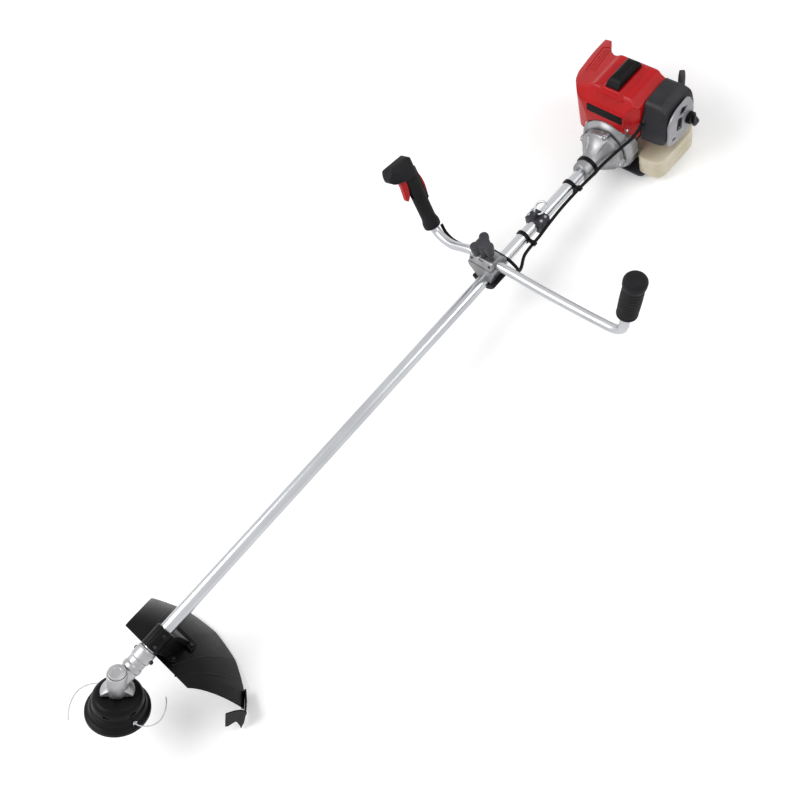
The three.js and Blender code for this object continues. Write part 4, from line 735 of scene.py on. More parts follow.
def add_floor(width, colour):
    half = width / 2
    corners = [(-half, -half, 0), (half, -half, 0), (half, half, 0), (-half, half, 0)]
    mesh = bpy.data.meshes.new("floor")
    mesh.from_pydata(corners, [], [(0, 1, 2, 3)])
    floor = add_object("floor", mesh)
    board, tree, shader, position = surface("painted_board", None, Roughness=0.9, Specular_IOR_Level=0.2)
    shader.inputs["Base Color"].default_value = (*colour, 1)
    shader.inputs["Emission Color"].default_value = (1, 1, 1, 1)
    # A little light of its own for the rays that see it keeps the board white and leaves the shadow on it.
    # Beyond the lamps' reach the board glows more, so that it stays as white as the wall behind it.
    away = add_node(tree, "ShaderNodeVectorMath", {"operation": "LENGTH"}, None, {0: position})
    level = spread(tree, away.outputs["Value"], *LAMP_FADE, *FLOOR_GLOW)
    glow = add_node(tree, "ShaderNodeMath", {"operation": "MULTIPLY"}, None,
                    {0: seen_share(tree), 1: level})
    tree.links.new(glow.outputs[0], shader.inputs["Emission Strength"])
    mesh.materials.append(board["material"])


def build_stage():
    add_camera()
    add_panel_light("key_light", (-1.3, 1.2, 2.9), (0.1, 0, 0.1), 1.8, 53)
    add_panel_light("fill_light", (1.9, -1.9, 2.3), (0.3, 0, 0.1), 1.4, 22)
    light_world()
    add_floor(sizes().stage_width, colours().floor)
    bpy.context.scene.view_settings.view_transform = "Standard"


# ---- cutting lines -------------------------------------------------------------------------------

LINE_DIAMETER = 2.4
LINE_EXIT = 65
LINE_ROUTE = [
    (0, 54, -65), (0, 60, -65), (-3, 66, -66), (-9, 72, -67.5), (-20, 78, -70), (-34, 80, -72),
    (-48, 76, -74), (-62, 67, -76), (-76, 53, -78), (-86, 38, -80),
]


def build_cutting_lines():
    """Two bare ends of nylon line that leave opposite sides of the head and curl round it."""
    for name, side in (("nylon_line_a", 1), ("nylon_line_b", -1)):
        route = [(side * x, side * y, z) for x, y, z in LINE_ROUTE]
        path = [HEAD @ point for point in smooth_path(route, 4)]
        curve = bpy.data.curves.new(name, "CURVE")
        curve.dimensions = "3D"
        curve.bevel_depth = LINE_DIAMETER / 2 * MM
        curve.bevel_resolution = 4
        curve.use_fill_caps = True
        spline = curve.splines.new("POLY")
        spline.points.add(len(path) - 1)
        for knot, point in zip(spline.points, path):
            knot.co = (*point, 1)
        line = add_object(name, curve)
        curve.materials.append(finish("line")["material"])
        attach(line, "head")
        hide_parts("cutting_line" + name[-2:])


# ---- drive tube and gear case --------------------------------------------------------------------

TUBE_RADIUS = 14
TUBE_BORE = TUBE_RADIUS + 0.3


def build_tube():
    """Drawn tube, and the shaft and its bushes inside."""
    low, high = extent("drive_tube")
    tube = pipe(TUBE_RADIUS - 1.5, TUBE_RADIUS, low.x, high.x, "x", 96, 0.3)
    hand_over(tube, "tube", "tube", "machine", ["drive_tube"])
    dressed("black", "shaft_bush_sleeve")
    dressed("zinc", "drive_shaft")


def hex_screw(name, radius, height, place, direction, finish_name, body="machine", space=TUBE):
    """Socket-head screw with its hexagon recess; it stands on the place and points along the direction."""
    head = lathe([(0, 0), (radius, 0), (radius, height, 0.5), (0, height)], 32, steps=3)
    hexagon = [polar(radius * 0.5, math.pi * k / 3) for k in range(6)]
    cut(head, prism(hexagon, height * 0.45, height + 1))
    hand_over(moved(head, along(direction, place)), name, finish_name, body, (), space)


def hex_screws(name, radius, height, places, *details):
    """Like screws at several places, numbered from 0; the details are what hex_screw takes next."""
    for k, place in enumerate(places):
        hex_screw(f"{name}_{k}", radius, height, place, *details)


GEAR_CASE_BARREL = 20
GEAR_CASE_TOP = 30
GEAR_CASE_FOOT = 33
GEAR_CASE_FLOOR = -24.5
FOOT_FLAT = 13.5
NECK_SCREW = (70, -2)


def gear_case_body():
    """Upright barrel on a wide foot with one flat, and the neck that takes the tube."""
    tilt = turn(HEAD_TILT, "Y")
    barrel = moved(lathe([(0, GEAR_CASE_FLOOR + 1), (GEAR_CASE_BARREL, GEAR_CASE_FLOOR + 1),
                          (GEAR_CASE_BARREL, GEAR_CASE_TOP, 1.2), (0, GEAR_CASE_TOP)], 96), tilt)
    foot = lathe([(0, -8), (GEAR_CASE_BARREL, -8), (GEAR_CASE_FOOT, -20, 2),
                  (GEAR_CASE_FOOT, GEAR_CASE_FLOOR), (0, GEAR_CASE_FLOOR)], 96)
    flat = moved(block((-60, 60), (-60, -FOOT_FLAT), (-60, 60)), turn(-40, "Z"))
    foot = moved(cut(foot, flat), tilt)
    neck = lathe([(0, 0), (17.9, 0), (18.2, 34), (20.4, 36), (20.4, 44), (18.6, 46), (18.6, 58), (21, 60),
                  (21, 80), (19.6, 84), (0, 84)], 96, "x", fillet=1)
    bosses = [rod(6.4, *span, "y", NECK_SCREW) for span in both_sides(12, 22.6)]
    return melted(joined(barrel, foot, neck, *bosses), 0.9, 5)


def build_gear_case():
    """Pale casting with its cap and clamp screws."""
    case = gear_case_body()
    tilt = turn(HEAD_TILT, "Y")
    cap_seat = moved(rod(18.4, GEAR_CASE_TOP - 0.4, GEAR_CASE_TOP + 20), tilt)
    inside = moved(rod(16.5, -19, GEAR_CASE_TOP + 1), tilt)
    floor = moved(block((-80, 80), (-80, 80), (-60, GEAR_CASE_FLOOR)), tilt)
    outlet = moved(rod(8, -40, -10), tilt)
    socket = rod(TUBE_BORE, 30, 90, "x")
    slit = block((52, 90), (-1, 1), (-30, 0))
    cut(case, cap_seat, inside, floor, outlet, socket, slit)
    hand_over(case, "gear_housing", "pale_casting", "machine", ["gear_case"])
    low, high = extent("gear_case_cap", HEAD)
    cap = lathe([(0, low.z), (16, low.z), (16, GEAR_CASE_TOP + 0.4), (17.6, GEAR_CASE_TOP + 0.4),
                 (17.6, high.z, 1.4), (9, high.z, 0.6), (8.4, high.z - 0.9, 0.4), (0, high.z - 0.9)], 96)
    hand_over(cap, "housing_cap", "pale_casting", "machine", ["gear_case_cap"], HEAD)
    for side, name in ((-1, "neck_screw_left"), (1, "neck_screw_right")):
        hex_screw(name, 4, 4.2, (NECK_SCREW[0], side * 22.4, NECK_SCREW[1]), (0, side, 0), "black_steel")
    dressed("black_steel", "output_shaft", "input_pinion")
    dressed("zinc", "input_bearing", "output_bearing")


# ---- trimmer head --------------------------------------------------------------------------------


def head_shell(low, high):
    """Dome, waist and wide skirt, open underneath."""
    return lathe([
        (6, high), (30, high, 1.5), (42.5, high - 0.6, 5), (49.5, high - 9, 6), (51, high - 24, 0.8),
        (49.8, high - 25.4, 0.6), (49.8, high - 27.6, 0.6), (53.5, high - 29.5, 1.5), (56.5, high - 42, 3),
        (63.6, high - 46.5, 1.6), (64, low, 1), (60.6, low, 0.8), (60, high - 49, 1.5), (53, high - 45, 2),
        (48, high - 13, 4), (40, high - 3.6, 3), (6, high - 3.6),
    ], 128, steps=5)


def build_trimmer_head():
    """Line head with its spool, tap knob and spring."""
    low, high = extent("trimmer_head_shell", HEAD)
    shell = head_shell(low.z, high.z)
    exits = [rod(2.6, *span, "y", (0, -LINE_EXIT)) for span in both_sides(40, 72)]
    window = ((44, 60), (-7, 7), (high.z - 19, high.z - 14))
    vents = around(6, "Z", lambda: bevelled(block(*window), 1.6), first=30)
    cut(shell, *exits, *vents)
    hand_over(shell, "head_shell", "black", "head", ["trimmer_head_shell"], HEAD)
    profile = [(1.5, 50.5), (3.4, 50.5), (3.4, 56), (5.2, 56.6, 0.6), (5.2, 58.4, 0.8), (1.5, 58.4, 0.5)]
    eyelets = around(2, "Z", lambda: lathe(profile, 32, "y", steps=3, shift=(0, 0, -LINE_EXIT)))
    for eyelet, name in zip(eyelets, ("eyelet_a", "eyelet_b")):
        hand_over(eyelet, name, "zinc", "head", (), HEAD)
    low, high = extent("bump_knob", HEAD)
    knob = lathe([(0, high.z), (high.x, high.z, 1), (high.x, high.z - 5, 1.5), (high.x - 5, low.z + 3, 3),
                  (high.x - 13, low.z, 3), (0, low.z)], 96)
    flute = (3.2, low.z - 2, high.z - 6)
    cut(knob, *around(12, "Z", lambda: rod(*flute, at=(high.x - 0.5, 0))))
    hand_over(knob, "tap_knob", "black", "feed", ["bump_knob"], HEAD)
    dressed("charcoal", "line_spool")
    dressed("zinc", "feed_spring")


# ---- guard ---------------------------------------------------------------------------------------

GUARD_RADIUS = 250
GUARD_EDGE = 92
GUARD_DECK = 140
GUARD_DROP = 60
GUARD_WALL = 2.6
GUARD_LEFT = -46
GUARD_RIGHT = 35.394
GUARD_RIGHT_INNER = (GUARD_EDGE, 94)
GUARD_END_BOW = 6
SKIRT_CURVE = 1.7
FACET_START = 2
FACET_FLATNESS = 0.55


def guard_height(radius):
    """Height of the guard's skin: a flat deck, then a skirt that steepens to the rim."""
    if radius <= GUARD_DECK:
        return 0.0
    return -GUARD_DROP * ((radius - GUARD_DECK) / (GUARD_RADIUS - GUARD_DECK)) ** SKIRT_CURVE


def facet_scale(angle):
    """How far in the rim lies at an angle, for panels that are flatter than the circle."""
    facet = millimetres(sizes().guard_facets) / GUARD_RADIUS
    off = (angle + math.radians(FACET_START)) % facet - facet / 2
    return 1 - FACET_FLATNESS * (1 - math.cos(facet / 2) / math.cos(off))


def guard_skin(columns=96, rows=36):
    """Sheet between the guard's inner edge and its rim, made as thick as the wall."""
    left = math.radians(GUARD_LEFT)
    right = math.radians(GUARD_RIGHT)
    left_inner = Vector((GUARD_EDGE, GUARD_EDGE * math.tan(left)))
    vertices = []
    for i in range(columns + 1):
        share = i / columns
        inner = left_inner.lerp(Vector(GUARD_RIGHT_INNER), share)
        angle = left + (right - left) * share
        rim = Vector(polar(1, angle)) * GUARD_RADIUS
        bow = GUARD_END_BOW * max(0, 1 - (1 - share) * 8)
        for k in range(rows + 1):
            point = inner.lerp(rim, k / rows)
            point.y -= bow * math.sin(math.pi * k / rows)
            radius = point.length
            flatness = min(1, max(0, (radius - 120) / 60))
            scale = 1 + (facet_scale(math.atan2(point.y, point.x)) - 1) * flatness
            vertices.append((point.x * scale, point.y * scale, guard_height(radius)))
    faces = []
    for i in range(columns):
        for k in range(rows):
            corner = i * (rows + 1) + k
            faces.append([corner, corner + rows + 1, corner + rows + 2, corner + 1])
    mesh = bpy.data.meshes.new("guard")
    mesh.from_pydata([tuple(v) for v in vertices], [], faces)
    made = applied(modified(add_object("guard", mesh), "SOLIDIFY", thickness=GUARD_WALL, offset=-1))
    if made.data.polygons[0].normal.z < 0:
        made.data.flip_normals()
    return bevelled(made, 0.9, 3, 50)


def build_guard():
    """Moulded guard with its rim bead, ribs, clamp and line cutter."""
    shell = guard_skin()
    hand_over(shell, "guard_skirt", "guard", "machine", ["guard_shell"], GUARD, 30)
    left = math.radians(GUARD_LEFT)
    rim = []
    for k in range(61):
        angle = left + (math.radians(35) - left) * k / 60
        rim.append(Vector((*polar((GUARD_RADIUS - 2.2) * facet_scale(angle), angle), -GUARD_DROP + 1.4)))
    hand_over(sweep(rim, 2.0, 16), "guard_rim_bead", "guard", "machine", (), GUARD)
    for k, angle in enumerate((-33, -20, 22)):
        path = [(GUARD_EDGE + 16, 0, 1.4), (GUARD_DECK, 0, 1.4)]
        path += [(GUARD_DECK + 14 * i, 0, 1.2 + guard_height(GUARD_DECK + 14 * i)) for i in range(1, 6)]
        rib = moved(sweep(smooth_path(path, 4), 2.2, 12), turn(angle, "Z"))
        hand_over(rib, f"guard_rib_{k}", "guard", "machine", (), GUARD)
    build_guard_clamp()
    build_line_cutter()


CLAMP_FRONT = 87
CLAMP_REAR = 133


def build_guard_clamp():
    """Saddle on the tube, leg with a hollow flank and a foot screwed to the deck."""
    tilt = turn(HEAD_TILT, "Y")
    saddle = rod(TUBE_RADIUS + 5.6, CLAMP_FRONT, CLAMP_REAR, "x", edge=2)
    leg = prism([(CLAMP_FRONT + 5, -180), (CLAMP_REAR + 6, -180), (CLAMP_REAR + 6, -24, 10),
                 (CLAMP_REAR - 3, -4), (CLAMP_FRONT + 3, -4), (CLAMP_FRONT + 3, -40, 14)], -22, 22, "y")
    foot = moved(bevelled(block((102, 170), (-38, 38), (0.4, 6.4), 12), 1.6), tilt)
    clamp = bevelled(joined(saddle, leg, foot), 2.2, 4, 40)
    bore = rod(TUBE_BORE, CLAMP_FRONT - 2, CLAMP_REAR + 30, "x")
    below = moved(block((-400, 400), (-200, 200), (-300, 0.4)), tilt)
    flanks = [bevelled(block((CLAMP_FRONT + 12, CLAMP_REAR - 4), span, (-88, -24), 6), 2)
              for span in both_sides(18, 40)]
    split = block((CLAMP_FRONT - 2, CLAMP_REAR + 12), (-1.2, 1.2), (10, 24))
    cut(clamp, bore, below, split, *flanks)
    space = TUBE @ turn(GUARD_ROLL, "X")
    hand_over(clamp, "guard_bracket", "black", "machine", ["guard_clamp"], space, 30)
    places = [(x, y, 6.2) for x in (160, 112) for y in (29, -29)]
    hex_screws("deck_screw", 4, 3.4, places, (0, 0, 1), "black_steel", "machine", GUARD)
    places = [(x, -14, 15.5) for x in (97, 123)]
    hex_screws("saddle_screw", 3.6, 4, places, (0, -0.6, 0.8), "black_steel", "machine", space)


CUTTER_AZIMUTH = -50


def build_line_cutter():
    """Strap round the guard's left end and a toothed blade that trims the lines."""
    inner = GUARD_RADIUS + 0.6
    outer = inner + 3.6
    top = -GUARD_DROP + 10
    strap = lathe([(inner, top), (outer, top), (outer, top - 36), (inner, top - 36)], 180, fillet=0.8)
    ends = (CUTTER_AZIMUTH, CUTTER_AZIMUTH + 13)
    sector = [(0, 0)] + [polar(2 * GUARD_RADIUS, math.radians(angle)) for angle in ends]
    common(strap, prism(sector, -200, 100))
    outline = [(outer, -44, 3), (outer, -80), (251, -104, 1), (246, -92, 2), (238, -80, 3), (224, -103, 1),
               (219, -105, 1), (214, -60, 2), (231, -45, 3), (243, -39, 3)]
    blade = moved(prism(outline, 0, 3, "y"), turn(CUTTER_AZIMUTH, "Z"))
    cutter = bevelled(joined(strap, blade), 0.7, 3, 40)
    hand_over(cutter, "line_blade", "guard", "machine", ["line_cutter"], GUARD, 30)
    for k, angle in enumerate((-41, -47)):
        x, y = polar(outer - 0.2, math.radians(angle))
        hex_screw(f"blade_screw_{k}", 3.4, 2.4, (x, y, top - 18), (x, y, 0), "black_steel", "machine", GUARD)


# ---- handlebar -----------------------------------------------------------------------------------

BAR_RADIUS = 10
BAR_BORE = BAR_RADIUS + 0.3
BAR_HEIGHT = 45
GRIP_FOOT = Vector((1139, -346, 80))
GRIP_LEAN = Vector((0.2, -0.11, 0.974))
GRIP_START = 30
GRIP_LENGTH = 117
HANDLE_FOOT = TUBE.inverted() @ HANDLE.translation
HANDLE_LEAN = (TUBE.inverted().to_3x3() @ HANDLE.to_3x3() @ Vector((0, 0, 1))).normalized()
BAR_BORE_END = 112


def bar_middle():
    """Where the bar's axis crosses over the tube."""
    low, high = extent("handlebar_cap")
    return (low.x + high.x) / 2


def bar_route(x):
    """The bar's centre line from the left grip to the throttle handle."""
    grip = [GRIP_FOOT + GRIP_LEAN * reach for reach in (GRIP_LENGTH + 15, 60, 10, -7)]
    left = [(x + 7, -339, 58), (x + 5, -323, 48), (x + 4, -294, BAR_HEIGHT), (x, -160, BAR_HEIGHT)]
    middle = [(x, -50, BAR_HEIGHT), (x, -10, BAR_HEIGHT), (x, 26, BAR_HEIGHT), (x, 48, BAR_HEIGHT - 0.4)]
    right = [(x - 3, 74, 39.5), (x - 6, 100, 34), (x - 4, 126, 34), (x, 149, 41)]
    handle = [HANDLE_FOOT + HANDLE_LEAN * reach for reach in (12, 32, 70, BAR_BORE_END - 6)]
    return grip + left + middle + right + handle


def build_handlebar():
    """Bent tube, its cast clamp, the pad under the tube and the clamp's hand knob."""
    x = bar_middle()
    bar = sweep(smooth_path(bar_route(x), 4), BAR_RADIUS, 40)
    hand_over(bar, "bar", "bar", "bars", ["handlebar"])
    build_bar_clamp(x)
    build_clamp_knob(x)


def build_bar_clamp(x):
    """Cast lower and upper halves round the bar, their four screws and the pad under the tube."""
    low, high = extent("handlebar_bracket")
    bar = rod(BAR_BORE, -90, 90, "y", (x, BAR_HEIGHT))
    bore = rod(TUBE_BORE, low.x - 9, high.x + 9, "x")
    saddle = TUBE_RADIUS + 6
    profile = [(low.y, BAR_HEIGHT - 0.2), (low.y, BAR_HEIGHT - 13, 5), (-saddle, 6, 4), (-saddle, 0.3),
               (saddle, 0.3), (saddle, 6, 4), (high.y, BAR_HEIGHT - 13, 5), (high.y, BAR_HEIGHT - 0.2)]
    base = prism(profile, low.x, high.x, "x")
    outline = [(low.x + 7, 10, 3), (high.x - 7, 10, 3), (high.x - 7, 33, 3), (low.x + 7, 33, 3)]
    flanks = [prism(outline, *span, "y") for span in both_sides(19, 50)]
    base = bevelled(cut(base, *flanks), 1.8, 4, 30)
    cut(base, bar, bore)
    hand_over(base, "bar_clamp_base", "casting", "machine", ["handlebar_bracket"])
    low, high = extent("handlebar_cap")
    outline = [(low.x, low.z), (high.x, low.z), (high.x - 3, BAR_HEIGHT + 9, 6), (x + 14, high.z, 5),
               (x - 14, high.z, 5), (low.x + 3, BAR_HEIGHT + 9, 6)]
    cap = bevelled(prism(outline, low.y, high.y, "y"), 1.6, 4, 30)
    groove = bevelled(block((low.x - 2, high.x + 2), (-3, 9), (BAR_HEIGHT + 12.5, BAR_HEIGHT + 40)), 1)
    bar = rod(BAR_BORE, -90, 90, "y", (x, BAR_HEIGHT))
    keep = bevelled(block((x - 15, x + 15), (-20, 26), (BAR_HEIGHT + 11, high.z)), 2)
    cut(cap, groove)
    joined(cap, keep)
    cut(cap, bar)
    hand_over(cap, "bar_clamp_cap", "casting", "machine", ["handlebar_cap"])
    places = [(x + dx, y, BAR_HEIGHT + 8.4) for y in (-21, 27) for dx in (-17.2, 17.2)]
    hex_screws("clamp_screw", 3.8, 3.6, places, (0, 0, 1), "black_steel")
    low, high = extent("clamp_pad")
    outline = [(low.y, high.z), (high.y, high.z), (high.y - 1, -5, 5), (21, -16, 9), (8, low.z, 9),
               (-8, low.z, 9), (-21, -16, 9), (low.y + 1, -5, 5)]
    pad = bevelled(prism(outline, low.x, high.x, "x"), 1.6, 4, 30)
    cut(pad, rod(TUBE_BORE, low.x - 9, high.x + 9, "x"))
    hand_over(pad, "clamp_saddle_pad", "rubber", "machine", ["clamp_pad"])


def build_clamp_knob(x):
    """Three-lobed hand knob with dished flanks."""
    low, high = extent("clamp_knob")
    hub = lathe([(0, low.z), (10.5, low.z, 1), (10, low.z + 7, 3), (13, low.z + 16, 8), (17, high.z - 4, 4),
                 (10, high.z - 0.4), (0, high.z - 1)], 64, shift=(x, 3, 0))
    profile = [(0, low.z + 9), (8, low.z + 9, 5), (10.8, high.z - 9, 9), (10.4, high.z, 4), (0, high.z)]
    lobes = []
    for k in range(3):
        place = turn(30 + 120 * k, "Z") @ Vector((17, 0, 0)) + Vector((x, 3, 0))
        lobes.append(lathe(profile, 48, shift=place))
    knob = melted(joined(hub, *lobes), 0.8, 14)
    hand_over(knob, "hand_knob", "charcoal", "clamp_screw", ["clamp_knob"])


def build_left_grip():
    """Rubber grip with a collar at its foot, fine ribs and a bulging end."""
    pitch = millimetres(sizes().grip_rib_pitch)
    depth = millimetres(sizes().grip_rib_depth)
    inner = BAR_RADIUS + 0.5
    profile = [(inner, GRIP_START), (20.8, GRIP_START, 2), (21.6, GRIP_START + 6, 2)]
    start, end = GRIP_START + 8, GRIP_LENGTH - 8
    count = int((end - start) / pitch)
    for k in range(count):
        foot = start + pitch * k
        swell = 21.2 + 0.8 * math.sin(math.pi * (foot - start) / (end - start))
        profile += [(swell - depth, foot, 0.4), (swell, foot + 1, 0.5), (swell, foot + pitch - 1, 0.5),
                    (swell - depth, foot + pitch - 0.2, 0.4)]
    profile += [(21, GRIP_LENGTH - 7, 2), (23.4, GRIP_LENGTH - 2, 2.5), (23.9, GRIP_LENGTH + 12, 4),
                (18, GRIP_LENGTH + 20, 4), (0, GRIP_LENGTH + 20), (0, GRIP_LENGTH + 16.4),
                (inner, GRIP_LENGTH + 16.4), (inner, GRIP_START + 0.01)]
    grip = lathe(profile, 96, steps=3)
    hand_over(moved(grip, along(GRIP_LEAN, GRIP_FOOT)), "rubber_grip", "rubber", "bars", ["left_grip"])


# ---- throttle handle -----------------------------------------------------------------------------
# In the handle's own frame +Z runs up the handle, +X is the palm side and +Y points outwards.

HANDLE_LENGTH = 150
HEAD_BLOCK_HALF = 23


def handle_form():
    """Swelling grip that runs into the forward head block."""
    grip = lathe([(0, 0), (18, 0, 3), (18.6, 12, 4), (15.2, 24, 8), (15.4, 62, 20), (16.4, HANDLE_LENGTH + 6),
                  (0, HANDLE_LENGTH + 6)], steps=8)
    moved(grip, Matrix.Diagonal((1.08, 1, 1, 1)))
    top = HANDLE_LENGTH + 28
    side = prism([(17, HANDLE_LENGTH - 14, 8), (17, top - 1, 16), (-40, top, 24),
                  (-55, HANDLE_LENGTH + 9, 13), (-50, HANDLE_LENGTH - 4, 8), (-14, HANDLE_LENGTH - 12, 10)],
                 -30, 30, "y", steps=10)
    half = HEAD_BLOCK_HALF
    plan = prism([(17, -14, 13), (17, 14, 13), (-10, half, 24), (-36, half, 24), (-55, 12, 14),
                  (-55, -12, 14), (-36, -half, 24), (-10, -half, 24)], 100, 250, steps=10)
    front = prism([(-half, 100), (half, 100), (half, top - 9, 20), (10, top, 22), (-10, top, 22),
                   (-half, top - 9, 20)], -70, 30, "x", steps=10)
    thumb_rest = prism([(19, 66, 10), (19, 150, 10), (8, 150), (8, 66)], -9.5, 9.5, "y", steps=6)
    return melted(joined(grip, common(side, plan, front), bevelled(thumb_rest, 3)), 0.8, 12)


def build_throttle_handle():
    """Two moulded halves with their screws, the trigger, the lock-out lever and the stop switch."""
    form = handle_form()
    bore = joined(rod(BAR_RADIUS + 0.6, -1, BAR_BORE_END), rod(14, -2, 20, end_radius=11))
    trigger_well = bevelled(block((-42, -9), (-6.7, 6.7), (85, 151), 3), 1)
    lock_well = bevelled(block((9.5, 34), (-5.7, 5.7), (70, 140), 3), 1)
    switch_span = (HANDLE_LENGTH + 3, HANDLE_LENGTH + 17)
    switch_well = bevelled(block((-13, 9), (HEAD_BLOCK_HALF - 9, 60), switch_span, 2), 0.8)
    recess = [bevelled(block((-6, 8), span, (34, 78), 5), 1) for span in both_sides(15.2, 30)]
    cut(form, bore, trigger_well, lock_well, switch_well, *recess)
    for half, side, span in zip(copies(form, 2), ("outer", "inner"), ((0.12, 90), (-90, -0.12))):
        common(half, block((-120, 120), span, (-40, 300)))
        hand_over(half, f"handle_{side}", "rubber", "bars", [f"throttle_half_{side}"], HANDLE, 30)
    places = [(2, 15.2, 28), (2, 14.4, 84), (-4, 15.4, 132), (-34, 17.8, 158)]
    hex_screws("handle_screw", 2.8, 2, places, (0, 1, 0), "black_steel", "bars", HANDLE)
    trigger = prism([(-10, 147, 2), (-33, 146.5, 4), (-29.5, 126, 14), (-34, 92, 4), (-30, 88, 2),
                     (-21, 96, 8), (-14.5, 122, 4)], -5.6, 5.6, "y", steps=8)
    trigger = melted(bevelled(trigger, 2.2, 4, 40), 0.5, 3)
    hand_over(trigger, "trigger_blade", "red", "trigger", ["throttle_trigger"], HANDLE)
    lever = prism([(10.5, 137, 1.5), (17, 137, 2.5), (23.5, 118, 12), (25, 96, 10), (21, 73, 2),
                   (18.5, 73, 1), (13.5, 100, 3)], -4.8, 4.8, "y", steps=8)
    hand_over(bevelled(lever, 1.8, 4, 40), "lockout_blade", "red", "lockout", ["lockout_lever"], HANDLE, 30)
    low, high = extent("stop_switch", HANDLE)
    button = bevelled(block((low.x, high.x), (low.y, high.y), (low.z, high.z), 1.5), 0.8)
    depth = (high.y - 0.6, high.y + 1)
    grooves = []
    for k in range(4):
        start = low.x + 1.5 + 2.4 * k
        grooves.append(block((start, start + 1), depth, (low.z - 1, high.z + 1)))
    hand_over(cut(button, *grooves), "switch_button", "red", "switch", ["stop_switch"], HANDLE, 30)


# ---- harness hanger, clips and throttle cable ----------------------------------------------------


RING_RADIUS = 15
RING_LEAN = 68


def build_hanger():
    """Two-screw clamp with an ear, and the ring that the harness hooks into."""
    low, high = extent("hanger_clamp")
    outline = [(-22, -14, 5), (-22, 17, 4), (22, 17, 4), (22, -14, 5), (10, -20, 5), (-10, -20, 5)]
    body = prism(outline, low.x, high.x, "x")
    outline = [(low.x + 7, -9, 2), (high.x - 7, -9, 2), (high.x - 7, 8, 2), (low.x + 7, 8, 2)]
    flanks = [prism(outline, *span, "y") for span in both_sides(19.5, 30)]
    body = bevelled(cut(body, *flanks), 1.4, 4, 30)
    middle = (low.x + high.x) / 2
    ear = prism([(low.x + 4, 14), (high.x - 4, 14), (high.x - 6, 31, 7), (low.x + 6, 31, 7)], -3, 3, "y")
    body = joined(body, bevelled(ear, 0.8))
    eye = rod(3.8, -9, 9, "y", (middle, 24))
    cut(body, rod(TUBE_BORE, low.x - 1, high.x + 1, "x"), eye,
        block((low.x - 1, high.x + 1), (-30, 0), (-0.4, 0.4)))
    hand_over(body, "hanger_block", "charcoal", "machine", ["hanger_clamp"], crease=30)
    places = [(middle + dx, y, 16.8) for y in (-17.6, 17.6) for dx in (-7, 7)]
    hex_screws("hanger_screw", 3.4, 3, places, (0, 0, 1), "zinc")
    lean = math.radians(RING_LEAN)
    ring = []
    for k in range(72):
        angle = 2 * math.pi * k / 72
        height = RING_RADIUS - RING_RADIUS * math.cos(angle)
        width = RING_RADIUS * 0.8 * math.sin(angle)
        ring.append(Vector((middle + height * math.sin(lean), width, 24 + height * math.cos(lean))))
    hand_over(closed_sweep(ring, 2.4, 20), "hanger_loop", "zinc", "ring", ["hanger_ring"])


LOOM_RADIUS = 3.8
LOOM_ENTRY = (-76, 80)
LOOM_ROUTE = [
    (1570.5, -76, 80), (1566, -76, 79.5), (1556, -76, 71), (1541, -67, 53), (1527, -57, 41), (1505, -45, 27),
    (1480, -35, 15), (1455, -31, 9), (1404, -28, 9), (1346, -27, 8), (1300, -28, 5), (1262, -29, 0),
    (1206, -30, -6), (1180, -42, -8), (1164, -50, 2), (1160, -48, 18), (1161, -30, 28), (1161, -8, 31),
    (1161, 26, 30), (1158, 46, 26), (1150, 64, 22), (1143, 90, 20), (1141, 116, 22), (1144, 138, 31),
    (1149, 151, 44),
]


def loom_place(x):
    """Where the loom crosses a place along the tube."""
    for a, b in zip(LOOM_ROUTE, LOOM_ROUTE[1:]):
        if b[0] <= x <= a[0]:
            return Vector(a).lerp(Vector(b), (a[0] - x) / (a[0] - b[0]))
    raise ValueError(f"the loom doesn't reach {x}")


def corrugation(distance):
    """Radius of the split loom along its length: flat-topped ribs."""
    relief = millimetres(sizes().loom_relief)
    wave = math.sin(2 * math.pi * distance / millimetres(sizes().loom_pitch))
    return LOOM_RADIUS - relief / 2 + relief * max(-0.5, min(0.5, wave))


def build_cable():
    """Corrugated loom of the throttle cable and its clips on the tube."""
    loom = sweep(smooth_path(LOOM_ROUTE, 0.7), corrugation, 18)
    hand_over(loom, "cable_loom", "black", None, ["throttle_loom"], crease=60)
    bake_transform(loom)
    for node, name in (("cable_clip_front", "clip_front"), ("cable_clip_rear", "clip_rear")):
        build_clip(node, name)


def build_clip(node, name):
    """Band round the tube with a saddle that the loom passes through."""
    low, high = extent(node)
    place = loom_place((low.x + high.x) / 2)
    band = pipe(TUBE_BORE, TUBE_RADIUS + 2.8, low.x, high.x, "x", 96, 0.7)
    saddle = rod(LOOM_RADIUS + 2.6, low.x, high.x, "x", (place.y, place.z), edge=0.8)
    foot, reach = TUBE_RADIUS + 1.4, math.hypot(place.y, place.z)
    web = prism([(foot, -2.6), (reach, -2.6), (reach, 2.6), (foot, 2.6)], low.x, high.x, "x")
    moved(web, turn(math.degrees(math.atan2(place.z, place.y)), "X"))
    clip = joined(band, saddle, web)
    room = sweep(smooth_path(LOOM_ROUTE, 3), LOOM_RADIUS + 0.25, 24)
    cut(clip, rod(TUBE_BORE, low.x - 1, high.x + 1, "x"), room)
    hand_over(clip, name, "black", "machine", [node], crease=40)


# ---- clutch housing, crankcase and cylinder ------------------------------------------------------

CLUTCH_NECK = 24
FLANGE_RADIUS = 52
FAN_CASE_RADIUS = 68
FAN_CASE_REAR = 1564.3
FLANGE_BOLTS = ((50, 13), (-50, -13), (-13, 50), (13, -50))
CASE_BOLTS = [polar(58, math.radians(angle)) for angle in (208, 262, 318)]
CYLINDER_X = 1606
# Places past the engine's front and rear ends and past both its sides, where tools that cut through it end.
AHEAD = 1500
BEHIND = 1760
ASIDE = (-200, 200)


